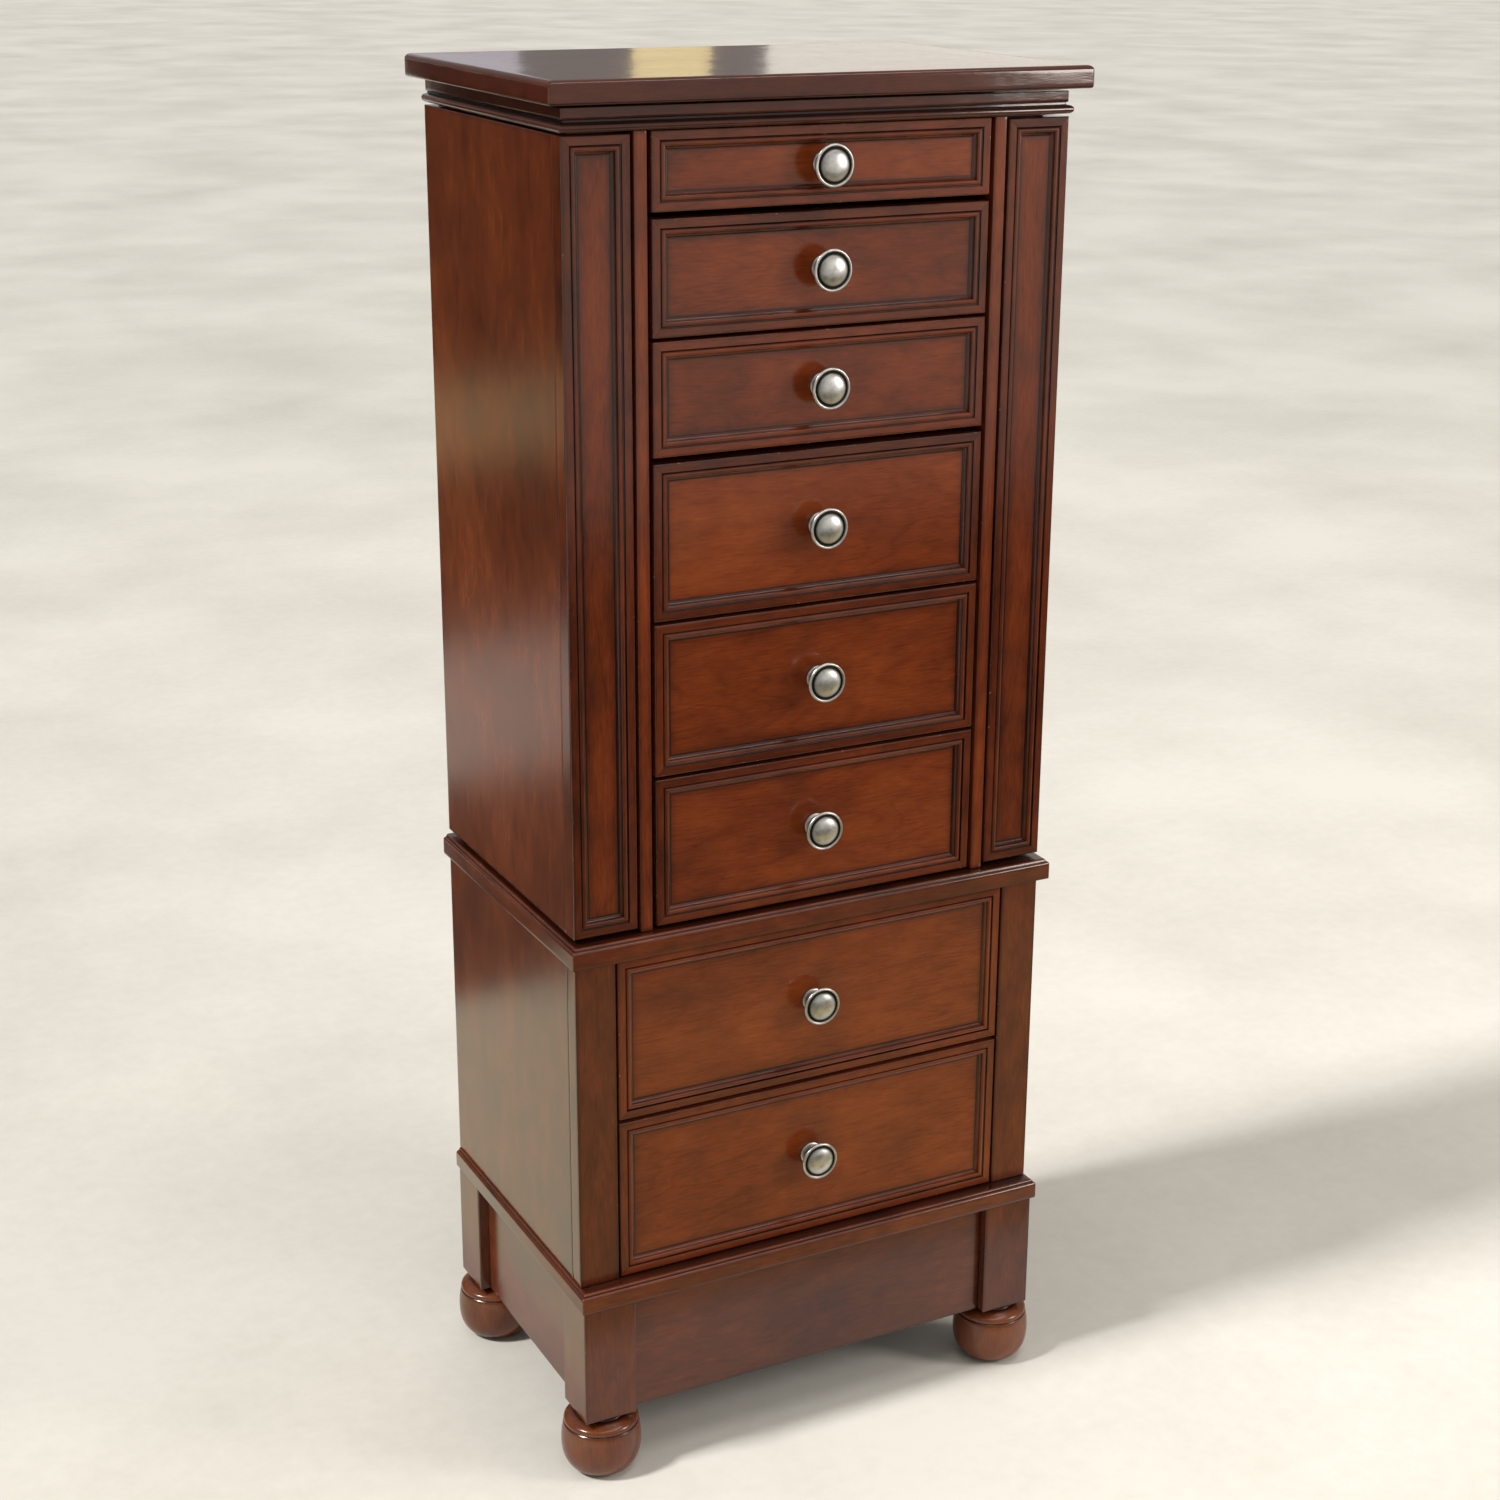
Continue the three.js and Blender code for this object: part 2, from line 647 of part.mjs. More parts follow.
function makeDoor(side, sign) {
  const height = [DOOR_BOTTOM, DOOR_TOP];
  const panelFront = PILASTER_THICKNESS + JOINT_LINE;
  const panelRear = BACK_FACE;
  const panel = block(span(sign, DOOR_PANEL_INNER, HALF_WIDTH), [panelFront, panelRear], height);
  place(`${side}_door_panel`, panel, cherry());

  const pilaster = framedFront(PILASTER_WIDTH, height[1] - height[0], PILASTER_THICKNESS);
  const centre = [sign * (PILASTER_INNER + PILASTER_WIDTH / 2), 0, (height[0] + height[1]) / 2];
  place(`${side}_door_pilaster`, pilaster, cherryFront(), centre, [Math.PI / 2, 0, 0]);

  const trayInner = INNER_SIDE_OUTER + TRAY_CLEARANCE;
  const trayOuter = DOOR_PANEL_INNER - JOINT_LINE;
  const trayFront = panelFront;
  const trayRear = BACK_INNER - TRAY_REAR_SPACE;
  const trayBottom = DOOR_BOTTOM;
  const trayTop = trayBottom + TRAY_HEIGHT;
  const tray = cut(
    block(span(sign, trayInner, trayOuter), [trayFront, trayRear], [trayBottom, trayTop]),
    block(
      span(sign, trayInner + TRAY_WALL, trayOuter - TRAY_WALL),
      [trayFront + TRAY_WALL, trayRear - TRAY_WALL],
      [trayBottom + TRAY_WALL, trayTop + 1],
    ),
  );
  place(`${side}_catch_tray`, tray, drawerWood());

  const stripLength = panelRear - panelFront - 2 * STRIP_END_SPACE;
  const stripY = (panelFront + panelRear) / 2;
  const stripX = sign * (DOOR_PANEL_INNER - JOINT_LINE);
  const stripZ = DOOR_TOP - STRIP_DROP;
  const turn = sign > 0 ? 0 : Math.PI;
  const strip = hookStrip(stripLength);
  place(`${side}_hook_strip`, strip, brass(), [stripX, stripY, stripZ], [0, 0, turn]);
  makeDoorHinge(side, sign);
}

// The two faces of a leaf lying on the back of the case, counted from the pin line.
function leafFaces() {
  const near = BACK_FACE + JOINT_LINE - HINGE_Y;
  return [near, near + HINGE_LEAF];
}

// One knuckle of a hinge: a short cylinder along Z between two levels.
function knuckle(radius, from, to) {
  const geometry = new THREE.CylinderGeometry(radius, radius, to - from, 10);
  geometry.rotateX(Math.PI / 2);
  geometry.translate(0, 0, (from + to) / 2);
  return geometry;
}

// Both leaves of a hinge in its own frame: pin along Z, knuckles at the origin. The fixed
// leaf carries the outer knuckles and the moving leaf the middle one.
function hingeLeaves(length, fixedPlate, movingPlate) {
  const third = length / 3;
  const gap = HINGE_CLEARANCE;
  const fixed = joined(
    fixedPlate,
    knuckle(HINGE_RADIUS, -length / 2, -third / 2 - gap),
    knuckle(HINGE_RADIUS, third / 2 + gap, length / 2),
  );
  const moving = joined(movingPlate, knuckle(HINGE_RADIUS, -third / 2, third / 2));
  return { fixed, moving };
}

function makeDoorHinge(side, sign) {
  const length = DOOR_HINGE_LENGTH;
  const third = length / 3;
  const plateY = leafFaces();
  const panelEdge = DOOR_HINGE_X - DOOR_PANEL_INNER;
  const fixedPlate = cut(
    block(span(-sign, 0, DOOR_LEAF_WIDTH), plateY, [-length / 2, length / 2]),
    block(
      span(-sign, -HINGE_RADIUS * 2, panelEdge + HINGE_CLEARANCE * 2),
      [-HINGE_RADIUS - 1, HINGE_RADIUS + 1],
      [-third / 2 - HINGE_CLEARANCE, third / 2 + HINGE_CLEARANCE],
    ),
  );
  const movingPlate = block(
    span(sign, -LEAF_TUCK, SIDE_THICKNESS / 2 - 1),
    plateY,
    [-third / 2, third / 2],
  );
  const leaves = hingeLeaves(length, fixedPlate, movingPlate);
  const centre = [sign * DOOR_HINGE_X, HINGE_Y, (DOOR_BOTTOM + DOOR_TOP) / 2];
  place(`${side}_hinge_fixed_leaf`, leaves.fixed, brass(), centre);
  place(`${side}_hinge_door_leaf`, leaves.moving, brass(), centre);
}

// ---------------------------------------------------------------- lid

function makeLid() {
  const z = LID_BOTTOM;
  const half = HALF_WIDTH + LID_OVERHANG;
  const rear = CASE_DEPTH + LID_REAR_REACH;
  const profile = [
    [1.5, z],
    [0.4, z + 0.6],
    [0, z + 1.8],
    [0, z + LID_THICKNESS - 3.4],
    [0.9, z + LID_THICKNESS - 1.2],
    [2.6, z + LID_THICKNESS - 0.2],
    [4, z + LID_THICKNESS],
  ];
  const play = HINGE_CLEARANCE;
  const slab = cut(
    mouldedBoard(half, LID_REACH, rear, profile),
    block(
      [-LID_HINGE_LENGTH / 2 - play, LID_HINGE_LENGTH / 2 + play],
      [HINGE_Y - LID_LEAF_WIDTH - play, HINGE_Y + HINGE_RADIUS],
      [z - 1, z + HINGE_LEAF + JOINT_LINE],
    ),
  );
  place("lid_slab", slab, cherry());

  const margin = TOP_RING_THICKNESS + MIRROR_MARGIN;
  const frameHalf = HALF_WIDTH - margin;
  const frameY = [margin, CASE_DEPTH - margin];
  const frameZ = [z - MIRROR_FRAME_HEIGHT, z - JOINT_LINE];
  const opening = MIRROR_FRAME_WIDTH;
  const ring = cut(
    block([-frameHalf, frameHalf], frameY, frameZ),
    block(
      [-frameHalf + opening, frameHalf - opening],
      [frameY[0] + opening, frameY[1] - opening],
      [frameZ[0] - 1, frameZ[1] + 1],
    ),
  );
  place("lid_mirror_frame", ring, cherry());
  const glass = block(
    [-frameHalf + opening + JOINT_LINE, frameHalf - opening - JOINT_LINE],
    [frameY[0] + opening + JOINT_LINE, frameY[1] - opening - JOINT_LINE],
    [frameZ[1] - MIRROR_THICKNESS, frameZ[1]],
  );
  place("lid_mirror", glass, mirrorGlass());
  makeLidHinge();
}

// The lid hinge is drawn with its pin along Z and turned so that the pin lies along X.
function makeLidHinge() {
  const length = LID_HINGE_LENGTH;
  const third = length / 3;
  const lidFace = LID_HINGE_Z - LID_BOTTOM;
  const fixedPlate = cut(
    block([LEAF_TUCK, LID_LEAF_WIDTH], leafFaces(), [-length / 2, length / 2]),
    block(
      [-HINGE_RADIUS, HINGE_RADIUS + HINGE_CLEARANCE * 2],
      [-HINGE_RADIUS - 1, HINGE_RADIUS + 1],
      [-third / 2 - HINGE_CLEARANCE, third / 2 + HINGE_CLEARANCE],
    ),
  );
  const web = [-HINGE_LEAF / 2, HINGE_LEAF / 2];
  const movingPlate = joined(
    block([lidFace - HINGE_LEAF, lidFace], [-LID_LEAF_WIDTH, 0], [-length / 2, length / 2]),
    block([lidFace - HINGE_LEAF, -HINGE_RADIUS + LEAF_TUCK], web, [-third / 2, third / 2]),
  );
  const leaves = hingeLeaves(length, fixedPlate, movingPlate);
  const turn = [0, Math.PI / 2, 0];
  place("lid_hinge_fixed_leaf", leaves.fixed, brass(), [0, HINGE_Y, LID_HINGE_Z], turn);
  place("lid_hinge_lid_leaf", leaves.moving, brass(), [0, HINGE_Y, LID_HINGE_Z], turn);
}

// ---------------------------------------------------------------- assembly

makeFeet();
makePlinth();
makeBase();
makeLowerCase();
makeWaist();
makeUpperCase();
makeTopCase();
makeDrawers();
for (const [side, sign] of SIDES) makeDoor(side, sign);
makeLid();

export default armoire;
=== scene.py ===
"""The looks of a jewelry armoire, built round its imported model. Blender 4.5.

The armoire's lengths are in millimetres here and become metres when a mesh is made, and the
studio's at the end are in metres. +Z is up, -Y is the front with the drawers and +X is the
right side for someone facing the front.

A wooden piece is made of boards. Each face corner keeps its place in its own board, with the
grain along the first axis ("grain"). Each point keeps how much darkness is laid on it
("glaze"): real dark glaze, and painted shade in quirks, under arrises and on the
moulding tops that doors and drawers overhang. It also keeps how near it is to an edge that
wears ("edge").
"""

import json
import math
import random

import bmesh
import bpy
from mathutils import Matrix, Vector, noise


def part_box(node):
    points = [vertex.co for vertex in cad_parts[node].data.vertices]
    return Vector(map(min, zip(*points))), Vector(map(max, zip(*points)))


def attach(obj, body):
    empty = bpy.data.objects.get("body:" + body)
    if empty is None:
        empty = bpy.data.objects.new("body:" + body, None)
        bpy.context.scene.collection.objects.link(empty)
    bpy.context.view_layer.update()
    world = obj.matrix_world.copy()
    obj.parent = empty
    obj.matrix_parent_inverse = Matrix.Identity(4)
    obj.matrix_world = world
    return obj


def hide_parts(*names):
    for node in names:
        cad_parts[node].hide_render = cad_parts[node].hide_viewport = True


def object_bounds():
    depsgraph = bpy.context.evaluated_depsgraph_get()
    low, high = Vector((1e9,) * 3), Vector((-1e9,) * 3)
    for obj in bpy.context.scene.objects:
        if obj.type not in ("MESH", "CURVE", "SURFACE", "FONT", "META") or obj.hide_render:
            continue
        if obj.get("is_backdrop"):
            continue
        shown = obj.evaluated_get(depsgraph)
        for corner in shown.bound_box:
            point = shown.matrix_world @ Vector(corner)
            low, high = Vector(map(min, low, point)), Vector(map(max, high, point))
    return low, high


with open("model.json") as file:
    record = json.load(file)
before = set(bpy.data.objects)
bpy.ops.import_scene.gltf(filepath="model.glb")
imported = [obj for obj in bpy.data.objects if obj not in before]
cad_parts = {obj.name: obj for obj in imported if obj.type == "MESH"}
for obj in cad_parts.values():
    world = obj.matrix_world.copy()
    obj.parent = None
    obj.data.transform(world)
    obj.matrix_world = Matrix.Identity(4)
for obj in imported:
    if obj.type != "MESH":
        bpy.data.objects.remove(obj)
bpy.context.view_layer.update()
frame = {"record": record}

MM = 0.001
X, Y, Z = 0, 1, 2
SIDES = (("left", -1), ("right", 1))

BODY_OF = {
    node: body
    for body, members in frame["record"]["behaviour"]["bodies"].items()
    for node in members
}


def box(node):
    """Lowest and highest corner of a CAD node, in millimetres."""
    low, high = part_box(node)
    return low / MM, high / MM


def add_object(name, data):
    made = bpy.data.objects.new(name, data)
    bpy.context.scene.collection.objects.link(made)
    return made


# ---- shapes


class Shape:
    """Points and faces in millimetres, with what the materials read from them."""

    def __init__(self, name):
        self.name = name
        self.points = []
        self.glaze = []
        self.edge = []
        self.faces = []
        self.axes = []
        self.shifts = []
        self.draw = random.Random(name)
        self.shift = (0, 0, 0)
        self.tone = 0
        self.new_board()

    def new_board(self, tone=0.0):
        """The faces that follow belong to a board with grain of its own."""
        self.shift = tuple(self.draw.uniform(-4000, 4000) for _ in range(3))
        self.tone = tone + self.draw.uniform(-0.04, 0.04)

    def point(self, place, glaze=0.0, edge=0.0):
        self.points.append(tuple(place))
        self.glaze.append(glaze + self.tone)
        self.edge.append(edge)
        return len(self.points) - 1

    def face(self, corners, axis):
        self.faces.append(tuple(corners))
        self.axes.append(axis)
        self.shifts.append(self.shift)

    def build(self, sharp=32):
        """Makes the Blender object."""
        mesh = bpy.data.meshes.new(self.name)
        mesh.from_pydata([tuple(c * MM for c in p) for p in self.points], [], self.faces)
        for name, values in (("glaze", self.glaze), ("edge", self.edge)):
            layer = mesh.attributes.new(name, "FLOAT", "POINT")
            layer.data.foreach_set("value", values)
        grain = []
        for corners, axis, shift in zip(self.faces, self.axes, self.shifts):
            for corner in corners:
                place = self.points[corner]
                for turn in range(3):
                    grain.append((place[(axis + turn) % 3] + shift[turn]) * MM)
        layer = mesh.attributes.new("grain", "FLOAT_VECTOR", "CORNER")
        layer.data.foreach_set("vector", grain)
        work = bmesh.new()
        work.from_mesh(mesh)
        bmesh.ops.recalc_face_normals(work, faces=work.faces)
        work.to_mesh(mesh)
        work.free()
        mesh.shade_smooth()
        mesh.set_sharp_from_angle(angle=math.radians(sharp))
        return add_object(self.name, mesh)


def finish(shape, material, *nodes, body=None, slot=None, sharp=32):
    """Makes a shape's object. It stands for the CAD nodes named and rides on their body."""
    thing = shape.build(sharp)
    thing.data.materials.append(material)
    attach(thing, body or BODY_OF[nodes[0]])
    if nodes:
        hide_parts(*nodes)
    return thing


def loft(shape, loops, axis, ring=False):
    """Joins loops of points, each a list of (place, glaze, edge), into one closed skin.

    Joins loops of points, each a list of (place, glaze and painted shade, edge), into one closed
    skin.
    its last loop to its first, and has no caps.
    """
    side_axis = axis if callable(axis) else lambda side: axis
    rows = [[shape.point(*entry) for entry in loop] for loop in loops]
    count = len(rows[0])
    pairs = list(zip(rows, rows[1:]))
    if ring:
        pairs.append((rows[-1], rows[0]))
    for low, high in pairs:
        for side in range(count):
            after = (side + 1) % count
            shape.face((low[side], low[after], high[after], high[side]), side_axis(side))
    if not ring:
        shape.face(reversed(rows[0]), side_axis(0))
        shape.face(rows[-1], side_axis(0))


def edge_stops(low, high, ease, border):
    """Places along one axis where a board's skin has a line of points."""
    near = [0, ease * 0.6, ease]
    if high - low > 2 * border + ease:
        near.append(border)
    return [low + step for step in near] + [high - step for step in reversed(near)]


def board(shape, low, high, axis, ease=0.7, border=3.0, glaze=0.22, edge=1.0, tone=0.0):
    """A plank with eased edges, darker and worn along them."""
    shape.new_board(tone)
    ease = min(ease, min(high[k] - low[k] for k in range(3)) * 0.45)
    stops = [edge_stops(low[k], high[k], ease, max(border, ease * 1.5)) for k in range(3)]
    known = {}

    def corner(index):
        if index in known:
            return known[index]
        place = Vector(stops[k][index[k]] for k in range(3))
        inner = Vector(
            min(max(place[k], low[k] + ease), high[k] - ease) for k in range(3)
        )
        out = place - inner
        reach = sorted(min(place[k] - low[k], high[k] - place[k]) for k in range(3))[1]
        if out.length > 1e-9:
            place = inner + out.normalized() * ease
        near = max(0.0, 1 - reach / border)
        known[index] = shape.point(place, glaze * near, edge * near * near)
        return known[index]

    for k in range(3):
        i, j = (k + 1) % 3, (k + 2) % 3
        for end in (0, len(stops[k]) - 1):
            for a in range(len(stops[i]) - 1):
                for b in range(len(stops[j]) - 1):
                    cell = []
                    for da, db in ((0, 0), (1, 0), (1, 1), (0, 1)):
                        index = [0, 0, 0]
                        index[k], index[i], index[j] = end, a + da, b + db
                        cell.append(corner(tuple(index)))
                    shape.face(cell, axis)


def arc(centre_a, centre_b, radius_a, radius_b, start, stop, steps):
    """Points of an elliptical arc, angles in degrees."""
    made = []
    for step in range(steps + 1):
        turn = math.radians(start + (stop - start) * step / steps)
        made.append(
            (centre_a + radius_a * math.cos(turn), centre_b + radius_b * math.sin(turn))
        )
    return made


SMALLEST_RADIUS = 0.02


def lathe(shape, profile, place, axis, steps):
    """Turns a profile of (radius, height, glaze and painted shade, edge). place(a, b, h) gives the
    point.
    """
    loops = []
    for radius, height, glaze, edge in profile:
        radius = max(radius, SMALLEST_RADIUS)
        loop = []
        for step in range(steps):
            turn = 2 * math.pi * step / steps
            where = place(radius * math.cos(turn), radius * math.sin(turn), height)
            loop.append((where, glaze, edge))
        loops.append(loop)
    loft(shape, loops, axis)


def smooth_line(knots, steps):
    """A smooth line through knots of any number of values each."""
    made = []
    for index in range(len(knots) - 1):
        before = knots[max(index - 1, 0)]
        first, second = knots[index], knots[index + 1]
        after = knots[min(index + 2, len(knots) - 1)]
        for step in range(steps):
            t = step / steps
            made.append(tuple(
                0.5 * (2 * q + (r - p) * t + (2 * p - 5 * q + 4 * r - s) * t * t
                       + (3 * q - p - 3 * r + s) * t ** 3)
                for p, q, r, s in zip(before, first, second, after)
            ))
    made.append(tuple(knots[-1]))
    return made


def tube(shape, path, radius, axis, steps):
    """A round rod along a path of points, narrowed at its two ends."""
    loops = []
    count = len(path)
    up = Vector((0.12, 0.35, 0.93)).normalized()  # never along the path
    for index, where in enumerate(path):
        ahead = Vector(path[min(index + 1, count - 1)])
        behind = Vector(path[max(index - 1, 0)])
        along = (ahead - behind).normalized()
        side = along.cross(up).normalized()
        over = side.cross(along).normalized()
        size = radius * (0.35 if index in (0, count - 1) else 1)
        loop = []
        for step in range(steps):
            turn = 2 * math.pi * step / steps
            out = side * math.cos(turn) + over * math.sin(turn)
            loop.append((Vector(where) + out * size, 0, 0.3))
        loops.append(loop)
    loft(shape, loops, axis)


def mitred_frame(shape, across, upward, profile, place, axes, gap=0.08, tone=0.0):
    """Four rails round a rectangle, cut at 45 degrees where they meet.

    profile is a closed line of (inset, height, glaze and painted shade, edge); place(a, b, h)
    gives the point.
    """
    (a0, a1), (b0, b1) = across, upward
    for side in range(4):
        shape.new_board(tone)
        ends = ([], [])
        for inset, height, glaze, edge in profile:
            cut = inset + gap
            corners = (
                ((a0 + cut, b0 + inset), (a1 - cut, b0 + inset)),
                ((a1 - inset, b0 + cut), (a1 - inset, b1 - cut)),
                ((a1 - cut, b1 - inset), (a0 + cut, b1 - inset)),
                ((a0 + inset, b1 - cut), (a0 + inset, b0 + cut)),
            )[side]
            for end, (a, b) in zip(ends, corners):
                end.append((place(a, b, height), glaze, edge))
        loft(shape, ends, axes[side % 2])


PLAN_STEPS = 4


def plan_loop(x, y, z, radius, glaze=0.0, edge=0.0):
    """A loop for loft: a level rectangle with rounded corners, from the front left round."""
    corners = (
        (x[0] + radius, y[0] + radius, 180),
        (x[1] - radius, y[0] + radius, 270),
        (x[1] - radius, y[1] - radius, 0),
        (x[0] + radius, y[1] - radius, 90),
    )
    made = []
    for cx, cy, start in corners:
        for px, py in arc(cx, cy, radius, radius, start, start + 90, PLAN_STEPS):
            made.append(((px, py, z), glaze, edge))
    return made


def plan_axis(side):
    """Grain axis of one side of a plan loop: along X in front and behind, along Y at the ends."""
    return (X, Y, X, Y)[side // (PLAN_STEPS + 1)]


def moulded_board(shape, half, front, rear, profile, radius=1.2, borders=(2, 5, 12), top=0.0):
    """A board moulded in front and at its two ends.

    profile is (inset, z, glaze and painted shade, edge) upwards; borders are the lines round the
    flat top, and top is the painted shade that darkens it under the doors and drawers that
    overhang it.
    """
    shape.new_board()
    last = profile[-1]
    rows = list(profile)
    for border in borders:
        rows.append((last[0] + border, last[1], top, 0))
    loops = []
    for inset, z, glaze, edge in rows:
        back = rear - min(inset, 0.5) - max(0, inset - last[0])
        across = (-half + inset, half - inset)
        loops.append(plan_loop(across, (front + inset, back), z, radius, glaze, edge))
    loft(shape, loops, plan_axis)


def open_box(shape, low, high, wall, floor, ease=1.2):
    """A box without a lid: front and rear boards between two sides, and a bottom."""
    (x0, y0, z0), (x1, y1, z1) = low, high
    joint = 0.06
    for a, b in ((x0, x0 + wall), (x1 - wall, x1)):
        board(shape, (a, y0, z0), (b, y1, z1), Y, ease)
    for a, b in ((y0, y0 + wall), (y1 - wall, y1)):
        board(shape, (x0 + wall + joint, a, z0), (x1 - wall - joint, b, z1), X, ease)
    board(
        shape,
        (x0 + wall + joint, y0 + wall + joint, z0 + 0.4),
        (x1 - wall - joint, y1 - wall - joint, z0 + floor),
        X, 0.3,
    )


FLOCKING = 0.8
FLOCKING_DROP = 1.2


def lined(name, low, high, wall, floor, body):
    """Flocked fibre on the floor and walls inside an open box."""
    shape = Shape(name)
    x0, y0, z0 = low.x + wall, low.y + wall, low.z + floor
    x1, y1, z1 = high.x - wall, high.y - wall, high.z - FLOCKING_DROP
    gap = 0.03
    loops = []
    for inset, z in (
        (gap, z0), (gap, z1 - 0.3), (gap + 0.3, z1), (FLOCKING, z1 - 0.3),
        (FLOCKING, z0 + 2.2), (FLOCKING + 0.5, z0 + 1.2), (FLOCKING + 1.6, z0 + FLOCKING),
    ):
        across, along = (x0 + inset, x1 - inset), (y0 + inset, y1 - inset)
        loops.append(plan_loop(across, along, z, 0.6 + inset * 0.6))
    loft(shape, loops, X)
    return finish(shape, FLOCK, body=body, slot="velvet")


def screw(shape, centre, out, radius, height):
    """A pan-head screw with a cross cut in it. out is the way that it faces."""
    out = Vector(out).normalized()
    side = out.orthogonal().normalized()
    over = out.cross(side)
    centre = Vector(centre)
    loops = []
    rings = [(1.0, 0.0), (1.0, 0.45), (0.9, 0.8), (0.72, 1.0), (0.5, 1.05), (0.3, 1.08), (0.1, 1.08)]
    for share, rise in rings:
        loop = []
        for step in range(24):
            turn = 2 * math.pi * step / 24
            a, b = radius * share * math.cos(turn), radius * share * math.sin(turn)
            level = height * rise
            slot = min(abs(a), abs(b)) < radius * 0.14 and share < 0.7
            if slot:
                level -= height * 0.6
            loop.append((centre + side * a + over * b + out * level, 0.8 if slot else 0, 0))
        loops.append(loop)
    loft(shape, loops, X)


# ---- materials


class Tree:
    """Short names for building the nodes of a material or of the world."""

    def __init__(self, name, owners=bpy.data.materials, shader="Principled BSDF"):
        self.owner = owners.new(name)
        self.owner.use_nodes = True
        self.nodes = self.owner.node_tree.nodes
        self.links = self.owner.node_tree.links
        self.shader = self.nodes[shader]

    def node(self, kind, settings=None, **inputs):
        made = self.nodes.new("ShaderNode" + kind)
        for key, value in (settings or {}).items():
            setattr(made, key, value)
        for key, value in inputs.items():
            self.set(made, key.replace("_", " "), value)
        return made

    def set(self, node, key, value):
        socket = node.inputs[int(key)] if key.isdigit() else node.inputs[key]
        if isinstance(value, bpy.types.NodeSocket):
            self.links.new(value, socket)
        else:
            socket.default_value = value

    def math(self, operation, first, second=0.0, third=0.0, clamp=False):
        made = self.node("Math", {"operation": operation, "use_clamp": clamp})
        for index, value in enumerate((first, second, third)):
            self.set(made, str(index), value)
        return made.outputs[0]

    def add(self, base, value, share, centre=0.0):
        """base plus a share of value's distance from centre."""
        if centre:
            value = self.math("SUBTRACT", value, centre)
        return self.math("MULTIPLY_ADD", value, share, base)

    def attribute(self, name, output):
        return self.node("Attribute", {"attribute_name": name}).outputs[output]

    def noise(self, vector, scale, detail, roughness=0.5):
        """Noise over a vector that is stretched by the three scales."""
        stretched = self.node("Mapping", Vector=vector, Scale=scale)
        made = self.node(
            "TexNoise", Vector=stretched.outputs[0], Scale=1.0, Detail=detail,
            Roughness=roughness,
        )
        return made.outputs["Fac"]

    def ramp(self, factor, stops):
        made = self.node("ValToRGB", Fac=factor)
        elements = made.color_ramp.elements
        while len(elements) < len(stops):
            elements.new(0.5)
        for element, (place, colour) in zip(elements, stops):
            element.position = place
            element.color = (*colour, 1)
        return made.outputs[0]

    def span(self, value, low, high):
        """0 below low, 1 above high."""
        made = self.node("MapRange", {"clamp": True}, Value=value)
        self.set(made, "From Min", low)
        self.set(made, "From Max", high)
        return made.outputs[0]

    def mix(self, factor, first, second):
        made = self.node("Mix", {"data_type": "RGBA"})
        self.set(made, "0", factor)
        self.set(made, "6", first)
        self.set(made, "7", second)
        return made.outputs[2]

    def bump(self, height, strength, distance, normal=None):
        made = self.node("Bump", Height=height, Strength=strength, Distance=distance)
        if normal is not None:
            self.set(made, "Normal", normal)
        return made.outputs[0]

    def shade(self, **inputs):
        for key, value in inputs.items():
            self.set(self.shader, key.replace("_", " "), value)
        return self.owner


# Near-black brown for dark glaze and for painted shade in recesses and under overhangs.
GLAZE_AND_SHADE_COLOUR = (0.010, 0.0035, 0.0025, 1)
BRUISE_COLOUR = (0.030, 0.010, 0.008, 1)
PORE_COLOUR = (0.012, 0.004, 0.003, 1)
NICK_COLOUR = (0.42, 0.21, 0.1, 1)


